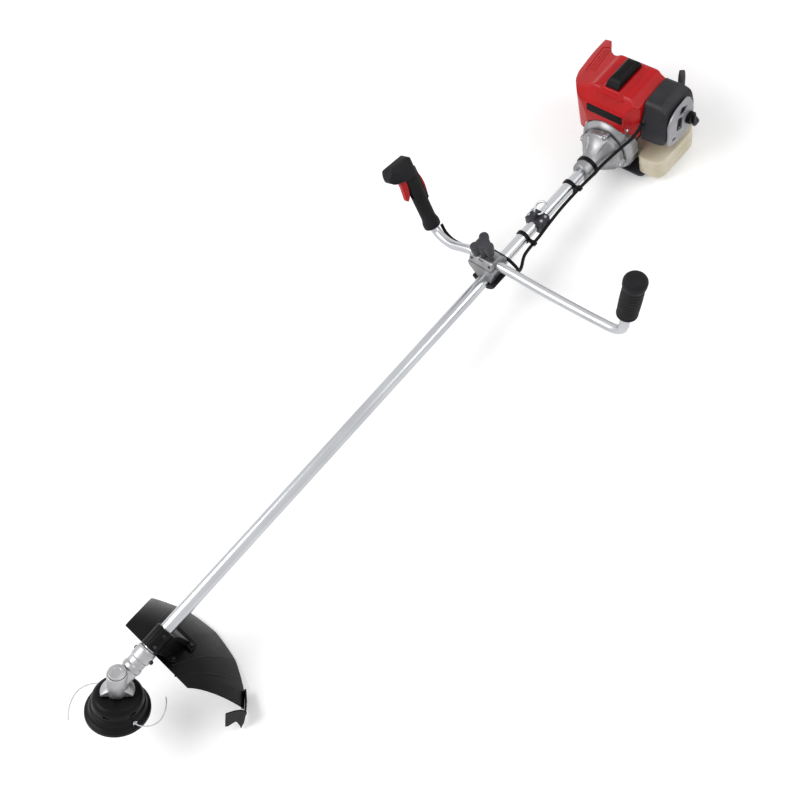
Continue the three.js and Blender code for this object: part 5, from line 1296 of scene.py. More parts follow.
def build_clutch_housing():
    """Trumpet-shaped casting with stiffening webs, its clamp band and bolts."""
    low, high = extent("clutch_housing")
    flare = lathe([
        (0, low.x), (CLUTCH_NECK - 2, low.x, 1), (CLUTCH_NECK, low.x + 6, 2),
        (CLUTCH_NECK - 0.5, low.x + 34, 12), (33, low.x + 54, 20), (FLANGE_RADIUS - 8, high.x - 22, 8),
        (FLANGE_RADIUS, high.x - 16, 2), (FLANGE_RADIUS, high.x), (0, high.x),
    ], 128, "x", steps=8)
    outline = [(low.x + 34, 18), (high.x - 8, 30), (high.x - 8, FLANGE_RADIUS - 1, 3),
               (high.x - 18, FLANGE_RADIUS - 2, 6), (low.x + 48, 32, 12)]
    webs = around(6, "X", lambda: prism(outline, -1.8, 1.8, "y"), first=22)
    bosses = [rod(7.4, high.x - 14, high.x, "x", place) for place in FLANGE_BOLTS]
    lug = prism([(low.x + 6, 20), (low.x + 26, 20), (low.x + 26, 31, 4), (low.x + 6, 31, 4)], -7, 7, "y")
    moved(lug, turn(180, "X"))
    housing = melted(joined(flare, *webs, *bosses, lug), 1.1, 5)
    hollow = lathe([(0, low.x + 60), (12, low.x + 60), (41, high.x - 17), (44, high.x + 1), (0, high.x + 1)],
                   96, "x")
    cut(housing, rod(TUBE_BORE, low.x - 2, low.x + 62, "x"), hollow,
        block((low.x - 1, low.x + 32), (-1, 1), (-40, 0)), block((high.x, high.x + 20), (-90, 90), (-90, 90)))
    hand_over(housing, "clutch_trumpet", "casting", "machine", ["clutch_housing"])
    places = [(high.x - 14, *place) for place in FLANGE_BOLTS]
    hex_screws("flange_bolt", 4.4, 4.5, places, (-1, 0, 0), "zinc")
    band = pipe(CLUTCH_NECK + 0.2, CLUTCH_NECK + 2.6, low.x + 20, low.x + 29, "x", 96, 0.8)
    hand_over(band, "neck_band", "black", "machine")
    dressed("black_steel", "clutch_drum", "clutch_shoes")


def build_crankcase():
    """Fan case and crankcase casting with its bolts; the engine's inner pieces get their metals."""
    low, high = extent("crankcase")
    fan_front = low.x
    fan_rear = fan_front + 32
    fan_case = lathe([(0, fan_front + 3), (54, fan_front, 2), (FAN_CASE_RADIUS - 9, fan_front, 5),
                      (FAN_CASE_RADIUS, fan_front + 9, 6), (FAN_CASE_RADIUS, fan_rear, 1), (0, fan_rear)],
                     128, "x", steps=6)
    crank = lathe([(0, fan_rear - 2), (42, fan_rear - 2), (42, high.x, 3), (0, high.x)], 96, "x")
    neck = rod(28, 10, high.z, at=(CYLINDER_X, 0))
    feet = [block((fan_rear + 8, fan_rear + 20), span, (-60, -20), 2) for span in both_sides(25, 35)]
    bosses = [rod(7, fan_front + 2, fan_rear, "x", place) for place in CASE_BOLTS]
    outline = [(fan_front + 2, 40), (fan_rear, 40), (fan_rear, FAN_CASE_RADIUS + 1.2, 3),
               (fan_front + 10, FAN_CASE_RADIUS + 1.2, 3)]
    ribs = [moved(prism(outline, -1.6, 1.6, "y"), turn(angle, "X")) for angle in range(36, 145, 18)]
    case = melted(joined(fan_case, crank, neck, *feet, *bosses, *ribs), 1.3, 4)
    fan_room = lathe([(0, fan_front - 5), (44, fan_front - 5), (44, fan_front + 4), (56.5, fan_front + 10),
                      (56.5, fan_rear - 4), (0, fan_rear - 4)], 96, "x")
    crank_room = rod(36, fan_rear + 6, high.x - 6, "x")
    mouth = rod(22, 0, high.z + 1, at=(CYLINDER_X, 0))
    bore = rod(8.3, fan_front - 10, high.x + 5, "x")
    under = block((fan_front - 20, high.x + 20), ASIDE, (-200, -60))
    in_front = block((fan_front - 20, fan_front), ASIDE, (-200, 200))
    cut(case, fan_room, crank_room, mouth, bore, under, in_front)
    hand_over(case, "engine_casting", "casting", "machine", ["crankcase"])
    places = [(fan_front + 2.2, *place) for place in CASE_BOLTS]
    hex_screws("case_bolt", 4, 4, places, (-1, 0, 0), "zinc")
    dressed("casting", "flywheel", "carburettor")
    dressed("zinc", "crankshaft", "piston", "connecting_rod", "spark_plug")
    build_cylinder()


def build_cylinder():
    """Finned cylinder with its two port flanges."""
    low, high = extent("cylinder")
    x = CYLINDER_X
    thickness = millimetres(sizes().fin_thickness)
    barrel = rod(26, low.z, high.z, at=(x, 0))
    pitch = (high.z - low.z - 22) / 7
    fins = []
    for k in range(7):
        foot = low.z + 12 + pitch * k
        fins.append(bevelled(block((low.x, high.x), (-46, 46), (foot, foot + thickness), 8), 0.5))
    intake = block((x - 12, x + 12), (low.y, -20), (54, 78), 2)
    exhaust = block((x - 14, x + 14), (20, high.y), (54, 82), 2)
    cylinder = joined(barrel, *fins, intake, exhaust)
    cut(cylinder, rod(20.3, low.z - 1, 98, at=(x, 0)), rod(5.3, 90, high.z + 1, at=(x, 0)),
        rod(8, -60, -15, "y", (x, 66)), rod(9, 15, 60, "y", (x, 68)))
    hand_over(cylinder, "finned_cylinder", "casting", "machine", ["cylinder"], crease=30)


# ---- engine shroud -------------------------------------------------------------------------------

CLEANER_INNER = -73
SHROUD_TOP = 136
SPINE_TOP = 141.6
SHROUD_REAR = 1668
SHROUD_FRONT = 1542
REAR_WALL = 1648
SHROUD_WALL = 2.4
WING_REAR = 1718
WING_OUTER = 134


def shroud_form():
    """What the outlines from behind (Y, Z), from the side (X, Z) and from above (X, Y) have in common."""
    behind = [
        (CLEANER_INNER, 119), (-55, 130), (-46, SHROUD_TOP), (46, SHROUD_TOP), (55, 130), (102, 117),
        (126, 108), (WING_OUTER - 1, 96), (WING_OUTER - 7, 47), (113, 45), (111, -11), (60, -25),
        (46, -25), (46, -60), (-46, -60), (-48, 16), (-70, 41),
    ]
    side = [
        (SHROUD_FRONT, -80), (SHROUD_FRONT, 68), (SHROUD_FRONT + 5, 103),
        (SHROUD_FRONT + 32, SHROUD_TOP + 0.2), (SHROUD_REAR - 4, SHROUD_TOP + 0.2), (WING_REAR - 12, 123),
        (WING_REAR, 100), (WING_REAR, 30), (SHROUD_REAR + 12, -80),
    ]
    above = [
        (1570, CLEANER_INNER - 1), (1558, -51), (1544, -43), (SHROUD_FRONT - 1, -10),
        (SHROUD_FRONT - 1, 50), (1550, 80), (1580, 106), (1604, 117), (WING_REAR + 8, WING_OUTER + 1),
        (WING_REAR - 4, 107), (SHROUD_REAR + 14, 86), (SHROUD_REAR, 66), (SHROUD_REAR, CLEANER_INNER - 1),
    ]
    tall = prism(behind, AHEAD, BEHIND, "x", 6)
    return common(tall, prism(side, *ASIDE, "y", 6), prism(above, -120, 200, "z", 7))


def sloped_block(low_rect, high_rect, z_low, z_high):
    """Block whose plan changes from one rectangle (x0, x1, y0, y1) to another on its way up."""
    vertices = []
    for (x0, x1, y0, y1), z in ((low_rect, z_low), (high_rect, z_high)):
        vertices += [(x0, y0, z), (x1, y0, z), (x1, y1, z), (x0, y1, z)]
    faces = [[3, 2, 1, 0], [4, 5, 6, 7], [0, 1, 5, 4], [1, 2, 6, 5], [2, 3, 7, 6], [3, 0, 4, 7]]
    return new_object("sloped", vertices, faces)


def shroud_skin():
    """The outer form with its creases run soft: roof, spine, rear panel and heat shield."""
    form = shroud_form()
    spine = sloped_block((1560, 1664, -32, 32), (1570, 1660, -22, 22), 128, SPINE_TOP)
    panel = prism([(-61, 40), (61, 40), (60, 108, 6), (52, 134, 10), (-52, 134, 10), (-60, 108, 6)],
                  SHROUD_REAR - 12, SHROUD_REAR + 2.4, "x")
    return melted(joined(form, spine, panel), 1.25, 9)


def slot_row(y_from, y_to, foot, height):
    """Slot with round ends through the rear wall."""
    corners = [(y_from, foot), (y_to, foot), (y_to, foot + height), (y_from, foot + height)]
    return prism(corners, REAR_WALL, BEHIND, "x", height * 0.45, 4)


def rear_openings():
    """Grille slots, the handle slot over them and the lower slots beside the starter."""
    height = millimetres(sizes().slot_height)
    handle_slot = [(-36, 121), (36, 121), (36, 125, 3), (0, 129, 40), (-36, 125, 3)]
    openings = [prism(handle_slot, REAR_WALL, BEHIND, "x", 1)]
    for k in range(7):
        openings += [slot_row(-44, -1, 50 + 8 * k, height), slot_row(1, 44, 50 + 8 * k, height)]
    for k in range(6):
        openings.append(slot_row(66, 104, -1 + 7.6 * k, 3.6))
    openings += [slot_row(56.5, 60, 28, 8), slot_row(56.5, 60, 12, 8)]
    return openings


def louvres():
    """Slanting slots through the front wall of the heat shield, inside a triangle."""
    triangle = prism([(99, 50), (113, 57), (100, 82)], 1540, 1700, "x", 2)
    bars = []
    for k in range(3):
        bar = block((1538, 1702), (-30, 30), (-1.6, 1.6))
        bars.append(moved(bar, Matrix.Translation((0, 112, 47 + 7 * k)) @ turn(-42, "X")))
    return [common(bar, inside) for bar, inside in zip(bars, copies(triangle, len(bars)))]


def clearances():
    """Room for the engine, the starter, the carburettor, the cable, the muffler's mouth and the plug."""
    return [
        block((AHEAD, BEHIND), ASIDE, (-120, -30)),
        rod(FAN_CASE_RADIUS + 1.2, AHEAD, FAN_CASE_REAR + 2, "x", sides=96),
        block((AHEAD, FAN_CASE_REAR + 2), ASIDE, (-120, 14)),
        block((REAR_WALL + 1, BEHIND), (-47, 47), (-120, 38), 3),
        block((1584, 1660), (-90, -60), (22, 106), 4),
        rod(5.5, 1540, 1590, "x", LOOM_ENTRY),
        bevelled(block((1672, BEHIND), (62, WING_OUTER - SHROUD_WALL - 5), (50, 100), 6), 5, 4),
        rod(11, 100, 160, at=(CYLINDER_X, 0)),
    ]


def offset(made, amount, voxel=None):
    """Copy of a closed form, swollen or shrunk along its faces."""
    other = swollen(copies(made, 2)[1], amount)
    return melted(other, voxel, 0) if voxel else other


def layer(skin, outline, axis, start, end, low, high, fillet=2.5):
    """What lies between two offsets of a skin inside an outline: a raised plate or a shallow recess."""
    return cut(common(offset(skin, high), prism(outline, start, end, axis, fillet)), offset(skin, low))


def build_shroud():
    """Red shroud with its name-plate field, slots, heat shield and screws, and the muffler behind it."""
    skin = shroud_skin()
    field = [(-42, 81), (51, 82), (51, 100), (-42, 99)]
    plate = layer(skin, field, "x", 1520, 1560, 0, 0.9)
    hand_over(plate, "name_field", "black", "machine", crease=30)
    hollow = joined(offset(skin, -SHROUD_WALL, 2.2), block((1560, 1656), (-60, 100), (-90, 10)))
    panel = [(1606, 70), (1688, 84), (1688, 112), (1606, 100)]
    recess = layer(skin, panel, "z", 90, 150, -1.3, 2, 5)
    grooves = []
    for y in (75, 82, 89):
        outline = [(1612, y), (1680, y + 10), (1680, y + 13.4), (1612, y + 3.4)]
        grooves.append(layer(skin, outline, "z", 90, 150, -2.1, 2, 1.5))
    cut(skin, hollow, *clearances(), *rear_openings(), *louvres(), recess, *grooves)
    skin = largest_part(skin)
    hand_over(skin, "shroud", "red", "machine", ["engine_shroud"], crease=34)
    hex_screw("shroud_screw_0", 4, 3, (SHROUD_REAR + 0.4, 58, -4), (1, 0, 0), "zinc")
    hex_screw("shroud_screw_1", 4, 3, (1541.4, -58, 76), (-1, 0, 0), "zinc")
    build_plug_cover()
    build_muffler()


def largest_part(made):
    """The object's biggest connected body alone."""
    work = bmesh.new()
    work.from_mesh(made.data)
    left = set(work.verts)
    parts = []
    while left:
        stack = [left.pop()]
        part = set(stack)
        while stack:
            for edge in stack.pop().link_edges:
                for vertex in edge.verts:
                    if vertex in left:
                        left.discard(vertex)
                        part.add(vertex)
                        stack.append(vertex)
        parts.append(part)
    biggest = max(parts, key=len)
    bmesh.ops.delete(work, geom=[v for v in work.verts if v not in biggest], context="VERTS")
    work.to_mesh(made.data)
    work.free()
    return made


def build_plug_cover():
    """Black hood over the plug: a long rounded cap with a soft crown."""
    low, high = extent("plug_cover")
    foot = SPINE_TOP + 0.6
    side = prism([(low.x, foot), (low.x + 1, 146, 3), (low.x + 13, high.z - 3, 10), (low.x + 30, high.z, 12),
                  (high.x - 10, high.z, 10), (high.x - 1, 151, 8), (high.x, foot)], -40, 40, "y", steps=8)
    across = prism([(-17, foot), (17, foot), (16, high.z - 8, 10), (8.5, high.z, 12), (-8.5, high.z, 12),
                    (-16, high.z - 8, 10)], low.x - 1, high.x + 1, "x", steps=8)
    hood = melted(common(side, across), 0.8, 5)
    cut(hood, rod(10, 100, 150, at=(CYLINDER_X, 0)), block((AHEAD, BEHIND), (-60, 60), (100, foot)))
    hand_over(hood, "plug_hood", "black", "plug_hood", ["plug_cover"])


def build_muffler():
    """Pressed-steel can with a folded seam and an outlet pipe."""
    low, high = extent("muffler")
    outline = [(56, low.z, 8), (100, low.z + 6, 12), (100, high.z - 6, 12), (56, high.z, 8)]
    can = bevelled(prism(outline, 1584, 1648, "x"), 4, 5, 40)
    outline = [(54.6, low.z - 1.4, 8), (101.4, low.z + 4.6, 12), (101.4, high.z - 4.6, 12),
               (54.6, high.z + 1.4, 8)]
    seam = prism(outline, 1614, 1617, "x")
    pipe_place = (88, 84)
    outlet = pipe(6, 8.6, 1640, 1653, "x", 48, 0.8, pipe_place)
    flange = block((1590, 1622), (52.4, 57), (54, 82), 4)
    can = joined(can, seam, outlet, flange)
    cut(can, rod(6, 1630, 1660, "x", pipe_place))
    hand_over(can, "exhaust_can", "muffler", "machine", ["muffler"], crease=30)


# ---- air cleaner ---------------------------------------------------------------------------------

CLEANER_KNOB = (1648, 60)


def cleaner_form(inset):
    """The cover's form, drawn in by the inset."""
    low, high = extent("air_cleaner_cover")
    front, rear, top, foot = low.x, high.x, high.z, low.z
    side = [(front + inset, foot + inset, 6), (rear - 12 - inset, foot + inset, 8),
            (rear - inset, foot + 30, 16), (rear - 2 - inset, 118, 12), (rear - 12, top - inset, 8),
            (front + 18 + inset, top - 4 - inset, 16), (front + inset, 62, 10)]
    behind = [(-60, top - inset), (-104, top - inset, 12), (low.y + 4 + inset, 114, 14),
              (low.y + inset, 80, 14), (low.y + 3 + inset, foot + 11 + inset, 10), (-98, foot + inset, 20),
              (-60, foot + inset)]
    return common(prism(side, low.y - 1, -60, "y", steps=8), prism(behind, AHEAD, BEHIND, "x", steps=8))


def build_air_cleaner():
    """Moulded cover, silver side plate, hand knob, choke lever, back plate and filter."""
    low, _ = extent("air_cleaner_cover")
    cover = melted(cleaner_form(0), 1.2, 5)
    outline = [(-127, 50), (-127, low.z + 1, 3), (-119, low.z + 1, 3), (-114, 50)]
    foot = bevelled(prism(outline, 1576, 1600, "x"), 1)
    hollow = cleaner_form(2.4)
    rim = block((AHEAD, BEHIND), (-73.6, 0), (-50, 200))
    cut(cover, hollow, rim, rod(6, 1540, 1600, "x", LOOM_ENTRY), rod(3, -150, -80, "y", CLEANER_KNOB))
    joined(cover, rod(5.5, low.y + 1, -119, "y", CLEANER_KNOB), cut(foot, cleaner_form(1)))
    cut(cover, rod(2.8, -150, -80, "y", CLEANER_KNOB))
    hand_over(largest_part(cover), "cleaner_cover", "nylon", "cleaner", ["air_cleaner_cover"])
    build_cleaner_plate(low.y)
    build_filter_base()
    dressed("felt", "air_filter_element")
    dressed("red", "choke_lever")


def build_filter_base():
    """Back plate inside the cover, with the air way through it and a lip round its edge."""
    low, high = extent("air_filter_base")
    base = common(block((low.x, high.x), (low.y, high.y), (low.z, high.z), 6), cleaner_form(2.8))
    lip = block((low.x, high.x), (high.y - 4, high.y + 10), (low.z, high.z), 6)
    common(lip, cleaner_form(2.8))
    cut(lip, block((low.x + 3, high.x - 3), (high.y - 10, high.y + 20), (low.z + 3, high.z - 8), 4))
    cut(joined(base, lip), rod(7, low.y - 1, high.y + 1, "y", (CYLINDER_X, 66)))
    hand_over(base, "filter_base", "black", "machine", ["air_filter_base"], crease=30)


def build_cleaner_plate(face):
    """Silver plate with three windows and a hole for the hand knob, and the knob itself."""
    outline = [(1573, 37, 9), (1577, 99, 18), (1603, 117, 14), (1650, 121, 12), (1667, 84, 24),
               (1661, 35, 10), (1640, 26, 10), (1592, 26, 14)]
    plate = prism(outline, face - 4.6, face - 0.3, "y", steps=6)
    through = (face - 20, face + 5, "y")
    windows = (
        [(1603, 57, 4), (1622, 50, 4), (1626, 82, 4), (1608, 89, 5)],
        [(1614, 94, 3), (1634, 87, 3), (1643, 101, 4), (1622, 110, 4)],
        [(1587, 40, 3), (1600, 38, 3), (1599, 45, 3), (1588, 47, 3)],
    )
    plate = bevelled(cut(plate, *[prism(window, *through) for window in windows]), 1.2, 3, 30)
    cut(plate, rod(12, *through, CLEANER_KNOB))
    hand_over(plate, "side_plate", "silver", "cleaner", ["cleaner_trim"], crease=30)
    low, _ = extent("air_cleaner_knob")
    centre = beside("y", CLEANER_KNOB)
    head = lathe([(0, low.y + 5), (11.5, low.y + 5, 2), (13.4, face - 14, 2), (14.2, face - 5, 1.2),
                  (9, face - 4.2), (9, face - 0.6), (0, face - 0.6)], 96, "y", shift=centre)
    flutes = around(12, "Y", lambda: rod(2.6, low.y - 2, face - 3, "y", (16, 0)))
    cut(head, *[moved(flute, Matrix.Translation(centre)) for flute in flutes])
    wing = bevelled(block((1645.4, 1650.6), (low.y, low.y + 12), (48, 72), 2), 1.2)
    shank = rod(2.2, face - 2, -92, "y", CLEANER_KNOB)
    knob = joined(head, wing, shank)
    hand_over(knob, "cleaner_knob", "black", "cleaner_screw", ["air_cleaner_knob"], crease=30)


# ---- recoil starter ------------------------------------------------------------------------------

# Where the starter rope leaves the cover.
ROPE_EXIT = Vector((1696, -50, 20))


def starter_form():
    """Arched cover with a crowned rear face."""
    low, high = extent("starter_cover")
    half, top = high.y, high.z
    outline = [(-half, low.z, 9), (half, low.z, 9), (half, 19, 10), (half - 9, 30, 12), (20, top, 30),
               (-20, top, 30), (-half + 9, 30, 12), (-half, 19, 10)]
    side = [(low.x - 1, -60), (low.x - 1, 60), (high.x - 15, 60), (high.x - 13, 28, 8), (high.x - 3, 8, 26),
            (high.x, -20, 24), (high.x - 3, -44, 14), (high.x - 9, -60)]
    body = prism(outline, low.x, high.x, "x", steps=8)
    return bevelled(common(body, prism(side, -80, 80, "y", steps=8)), 3, 4, 40)


def build_starter():
    """Charcoal cover with two lighter bands, vents, bolts, reel and the pull handle."""
    low, high = extent("starter_cover")
    cover = starter_form()
    bands = []
    for foot, top in ((-12, 1), (-36, -24)):
        outline = [(-37, foot), (40, foot), (36, top), (-33, top)]
        bands.append(layer(cover, outline, "x", high.x - 30, high.x + 10, 0, 0.8))
    vents = [bevelled(block((high.x - 28, high.x + 9), span, (-50, -43), 1.5), 0.8)
             for span in both_sides(28, 39)]
    hollow = rod(33, low.x - 1, high.x - 18, "x", (0, -1))
    rope_axis = in_tube(joint_axis("starter_pull"))
    rope = moved(rod(3, -70, 30), along(rope_axis, ROPE_EXIT))
    lines = []
    for foot, top in ((4.5, 5.6), (-41, -39.9)):
        outline = [(-43, foot), (43, foot), (43, top), (-43, top)]
        lines.append(layer(cover, outline, "x", high.x - 30, high.x + 9, -0.9, 1, 0.2))
    cut(cover, hollow, *vents, rope, *lines)
    joined(cover, rod(4.6, low.x + 17, high.x - 16, "x"))
    hand_over(cover, "starter_case", "charcoal", "machine", ["starter_cover"], crease=30)
    for k, band in enumerate(bands):
        hand_over(largest_part(band), f"starter_band_{k}", "grey", "machine", crease=30)
    for side, name in ((-36, "starter_bolt_left"), (36, "starter_bolt_right")):
        hex_screw(name, 5, 4.6, (high.x - 12.5, side, 21), (1, 0, 0.15), "zinc")
    dressed("charcoal", "starter_pulley")
    build_pull_handle(rope_axis)


def build_pull_handle(aim):
    """T-shaped handle: a waisted bar with a moulded stem, on the rope's end."""
    bar = lathe([(0, -33.5), (5.4, -33.5, 3), (7.2, -20, 14), (6.8, 0, 14), (7.2, 20, 14), (5.4, 33.5, 3),
                 (0, 33.5)], 48, steps=8)
    flat = Matrix.Diagonal((1, 1.18, 1, 1))
    moved(bar, along((0.62, 0.36, 0.7), ROPE_EXIT + aim * 44) @ flat)
    stem = lathe([(0, 3), (4.6, 3, 1), (6.4, 12, 6), (6.8, 28, 8), (10.4, 41, 6), (0, 44)], 48, steps=6)
    handle = melted(joined(bar, moved(stem, along(aim, ROPE_EXIT))), 0.6, 6)
    hand_over(handle, "pull_grip", "charcoal", "starter_handle", ["pull_handle"])
    rope = moved(rod(1.8, -64, 5), along(aim, ROPE_EXIT))
    hand_over(rope, "pull_rope", "black", "starter_handle")


# ---- fuel tank and stand -------------------------------------------------------------------------


def build_tank():
    """Blow-moulded tank with a parting seam, filler neck and the fluted cap."""
    low, high = extent("fuel_tank")
    starter_gap = -54
    plan = [(low.x, low.y, 52), (1695, low.y, 44), (1695, starter_gap, 8), (1648, starter_gap, 3),
            (1648, high.y, 18), (1584, high.y, 22), (1584, -66, 10), (low.x, -72, 12)]
    body = bevelled(prism(plan, -60, -10, steps=10), 15, 8, 40)
    seam = swollen(prism(plan, -34.6, -33, steps=8), 0.9)
    cap_axis = in_tube(joint_axis("fuel_cap_turn"))
    cap_place = TUBE.inverted() @ joint_place("fuel_cap_turn")
    neck = lathe([(0, -34), (18, -34, 2), (16.4, -10, 4), (16.4, -2, 1), (0, -2)], 64)
    tank = melted(joined(body, moved(neck, along(cap_axis, cap_place))), 1.5, 4)
    joined(tank, seam)
    saddle = rod(44.5, low.x - 5, 1690, "x", sides=96)
    fan_room = rod(FAN_CASE_RADIUS + 2.4, low.x - 5, FAN_CASE_REAR + 2.2, "x", sides=96)
    feet = [block((1570, 1587), span, (-61, 0)) for span in both_sides(22.5, 37.5)]
    cut(tank, saddle, fan_room, *feet)
    hand_over(largest_part(tank), "tank", "tank", "machine", ["fuel_tank"], crease=34)
    build_fuel_cap(cap_place, cap_axis)


def build_fuel_cap(place, aim):
    """Fluted cap with a raised bar to turn it by."""
    cap = lathe([(0, -1.6), (20.4, -1.6, 1), (21.6, 4, 2), (20.2, 13, 3), (16.4, 16, 2), (15.6, 13.6, 1),
                 (0, 13.2)], 96, steps=5)
    cut(cap, *around(8, "Z", lambda: rod(4.6, -12, 20, at=(24, 0)), first=10))
    bar = bevelled(block((-14.6, 14.6), (-3.2, 3.2), (6, 16), 2), 1.4)
    joined(cap, bar)
    cap = bevelled(cap, 0.7, 2, 50)
    joined(cap, rod(10, -14, -1))
    hand_over(moved(cap, along(aim, place)), "filler_cap", "charcoal", "filler_cap", ["fuel_cap"], crease=34)


def ground_height(x):
    """Height of the ground under a place along the tube, in the tube's frame."""
    below = Vector(((TUBE @ Vector((x, 0, 0))).x, 0, 0))
    return (TUBE.inverted() @ below).z


def build_stand():
    """Base plate under the tank with two slots, two rails to the ground and a raised rear edge."""
    low, high = extent("tank_stand")
    deck = -60.3
    plan = [(low.x, low.y, 16), (1642, low.y + 6, 16), (high.x, -62, 10), (high.x, 56, 10),
            (1642, high.y, 16), (low.x, high.y, 16)]
    tray = bevelled(prism(plan, deck - 6, deck, steps=6), 1.5, 3, 40)
    slots = [bevelled(block((1566, 1630), span, (deck - 30, deck + 9), 6), 1) for span in both_sides(10, 30)]
    cut(tray, *slots)
    front, rear = low.x + 12, high.x - 6
    outline = [(front, deck - 2), (rear, deck - 2), (rear, ground_height(rear), 3),
               (front, ground_height(front), 3)]
    rails = [prism(outline, *span, "y") for span in both_sides(36, 52)]
    outline = [(-48, deck - 4, 3), (48, deck - 4, 3), (41, -50), (-41, -50)]
    edge = prism(outline, high.x - 9, high.x, "x")
    below_starter = block((1500, 1800), (-44, 44), (-53.3, 0))
    cut(edge, below_starter)
    stand = bevelled(joined(tray, *rails, edge), 1, 3, 50)
    hand_over(stand, "base_plate", "charcoal", "machine", ["tank_stand"], crease=30)


# ---- operators, panel and registration -----------------------------------------------------------


class BrushCutterStep:
    """What the operators share: undo, and a build that raises when it can't finish."""

    bl_options = {"REGISTER", "UNDO"}

    def execute(self, context):
        self.build()
        return {"FINISHED"}


class BRUSHCUTTER_OT_stage(BrushCutterStep, bpy.types.Operator):
    """Set up the camera, the soft light and the pale floor"""

    bl_idname = "brush_cutter.stage"
    bl_label = "Stage"
    build = staticmethod(build_stage)


class BRUSHCUTTER_OT_cutting_lines(BrushCutterStep, bpy.types.Operator):
    """Hang the two nylon cutting lines from the trimmer head"""

    bl_idname = "brush_cutter.cutting_lines"
    bl_label = "Cutting Lines"
    build = staticmethod(build_cutting_lines)


class BRUSHCUTTER_OT_tube(BrushCutterStep, bpy.types.Operator):
    """Make the drive tube with its drive shaft and bushes"""

    bl_idname = "brush_cutter.tube"
    bl_label = "Drive Tube"
    build = staticmethod(build_tube)


class BRUSHCUTTER_OT_gear_case(BrushCutterStep, bpy.types.Operator):
    """Make the bevel gear case with its cap, bolts, shafts and bearings"""

    bl_idname = "brush_cutter.gear_case"
    bl_label = "Gear Case"
    build = staticmethod(build_gear_case)


class BRUSHCUTTER_OT_trimmer_head(BrushCutterStep, bpy.types.Operator):
    """Make the trimmer head with its shell, spool, spring and tap knob"""

    bl_idname = "brush_cutter.trimmer_head"
    bl_label = "Trimmer Head"
    build = staticmethod(build_trimmer_head)


class BRUSHCUTTER_OT_guard(BrushCutterStep, bpy.types.Operator):
    """Make the debris guard with its clamp and line cutter"""

    bl_idname = "brush_cutter.guard"
    bl_label = "Guard"
    build = staticmethod(build_guard)


class BRUSHCUTTER_OT_handlebar(BrushCutterStep, bpy.types.Operator):
    """Make the bull-horn handlebar with its clamp and hand knob"""

    bl_idname = "brush_cutter.handlebar"
    bl_label = "Handlebar"
    build = staticmethod(build_handlebar)


class BRUSHCUTTER_OT_left_grip(BrushCutterStep, bpy.types.Operator):
    """Make the ribbed rubber grip on the left end of the bar"""

    bl_idname = "brush_cutter.left_grip"
    bl_label = "Left Grip"
    build = staticmethod(build_left_grip)


class BRUSHCUTTER_OT_throttle_handle(BrushCutterStep, bpy.types.Operator):
    """Make the throttle handle with its trigger, lockout lever and stop switch"""

    bl_idname = "brush_cutter.throttle_handle"
    bl_label = "Throttle Handle"
    build = staticmethod(build_throttle_handle)


class BRUSHCUTTER_OT_hanger(BrushCutterStep, bpy.types.Operator):
    """Make the harness hanger and its ring"""

    bl_idname = "brush_cutter.hanger"
    bl_label = "Harness Hanger"
    build = staticmethod(build_hanger)


class BRUSHCUTTER_OT_cable(BrushCutterStep, bpy.types.Operator):
    """Make the corrugated throttle loom and the clips that hold it"""

    bl_idname = "brush_cutter.cable"
    bl_label = "Throttle Cable"
    build = staticmethod(build_cable)


class BRUSHCUTTER_OT_clutch(BrushCutterStep, bpy.types.Operator):
    """Make the clutch housing with its bolts, drum and shoes"""

    bl_idname = "brush_cutter.clutch"
    bl_label = "Clutch"
    build = staticmethod(build_clutch_housing)


class BRUSHCUTTER_OT_engine(BrushCutterStep, bpy.types.Operator):
    """Make the crankcase, the flywheel and the finned cylinder"""

    bl_idname = "brush_cutter.engine"
    bl_label = "Engine"
    build = staticmethod(build_crankcase)


class BRUSHCUTTER_OT_shroud(BrushCutterStep, bpy.types.Operator):
    """Make the red shroud with its plug cover and the muffler"""

    bl_idname = "brush_cutter.shroud"
    bl_label = "Engine Shroud"
    build = staticmethod(build_shroud)


class BRUSHCUTTER_OT_air_cleaner(BrushCutterStep, bpy.types.Operator):
    """Make the air cleaner with its side plate, knob, filter and choke"""

    bl_idname = "brush_cutter.air_cleaner"
    bl_label = "Air Cleaner"
    build = staticmethod(build_air_cleaner)


class BRUSHCUTTER_OT_starter(BrushCutterStep, bpy.types.Operator):
    """Make the recoil starter with its bands, bolts and pull handle"""

    bl_idname = "brush_cutter.starter"
    bl_label = "Recoil Starter"
    build = staticmethod(build_starter)


class BRUSHCUTTER_OT_tank(BrushCutterStep, bpy.types.Operator):
    """Make the fuel tank and its fluted cap"""

    bl_idname = "brush_cutter.tank"
    bl_label = "Fuel Tank"
    build = staticmethod(build_tank)


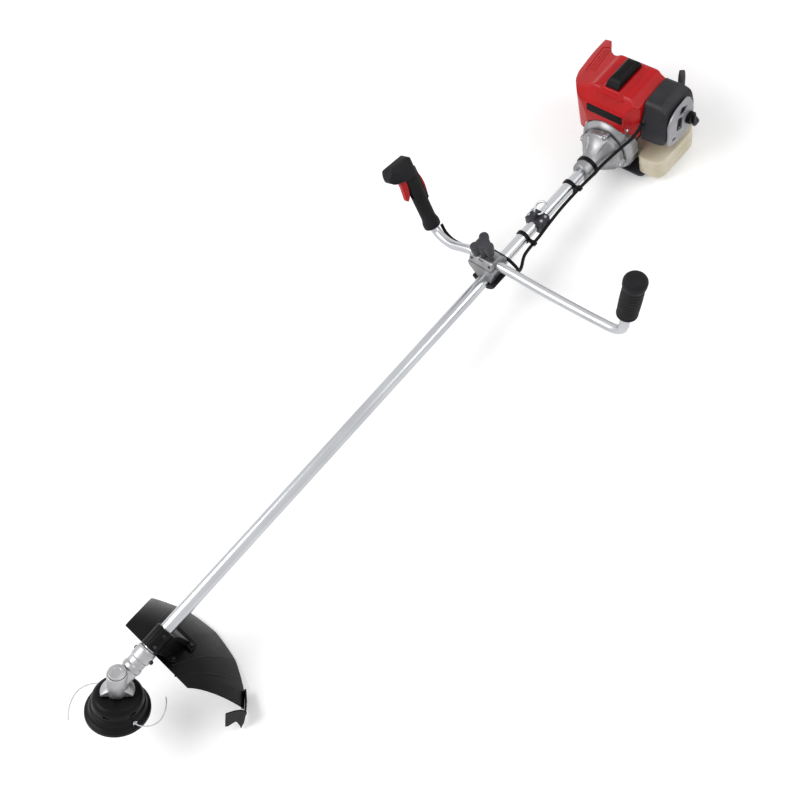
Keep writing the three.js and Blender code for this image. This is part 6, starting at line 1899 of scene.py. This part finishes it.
class BRUSHCUTTER_OT_stand(BrushCutterStep, bpy.types.Operator):
    """Make the base plate that the engine rests on"""

    bl_idname = "brush_cutter.stand"
    bl_label = "Stand"
    build = staticmethod(build_stand)


OPERATORS = (
    BRUSHCUTTER_OT_stage, BRUSHCUTTER_OT_cutting_lines, BRUSHCUTTER_OT_tube, BRUSHCUTTER_OT_gear_case,
    BRUSHCUTTER_OT_trimmer_head, BRUSHCUTTER_OT_guard, BRUSHCUTTER_OT_handlebar, BRUSHCUTTER_OT_left_grip,
    BRUSHCUTTER_OT_throttle_handle, BRUSHCUTTER_OT_hanger, BRUSHCUTTER_OT_cable, BRUSHCUTTER_OT_clutch,
    BRUSHCUTTER_OT_engine, BRUSHCUTTER_OT_shroud, BRUSHCUTTER_OT_air_cleaner, BRUSHCUTTER_OT_starter,
    BRUSHCUTTER_OT_tank, BRUSHCUTTER_OT_stand,
)


class BRUSHCUTTER_PT_panel(bpy.types.Panel):
    """Sizes, colours and one button for each step, in the order they are run"""

    bl_idname = "BRUSHCUTTER_PT_panel"
    bl_label = "Brush Cutter"
    bl_space_type = "VIEW_3D"
    bl_region_type = "UI"
    bl_category = "Brush Cutter"

    def draw(self, context):
        column = self.layout.column(align=True)
        for group in (colours(), sizes()):
            for key in group.bl_rna.properties.keys():
                if key not in ("rna_type", "name"):
                    column.prop(group, key)
        for operator in OPERATORS:
            column.operator(operator.bl_idname)


CLASSES = (BrushCutterColours, BrushCutterSizes, *OPERATORS, BRUSHCUTTER_PT_panel)


def register():
    for each in CLASSES:
        bpy.utils.register_class(each)
    bpy.types.Scene.brush_cutter_colours = bpy.props.PointerProperty(type=BrushCutterColours)
    bpy.types.Scene.brush_cutter_sizes = bpy.props.PointerProperty(type=BrushCutterSizes)


def unregister():
    del bpy.types.Scene.brush_cutter_sizes
    del bpy.types.Scene.brush_cutter_colours
    for each in reversed(CLASSES):
        bpy.utils.unregister_class(each)


def main():
    register()
    for operator in OPERATORS:
        group, name = operator.bl_idname.split(".")
        getattr(getattr(bpy.ops, group), name)()


if __name__ == "__main__":
    main()
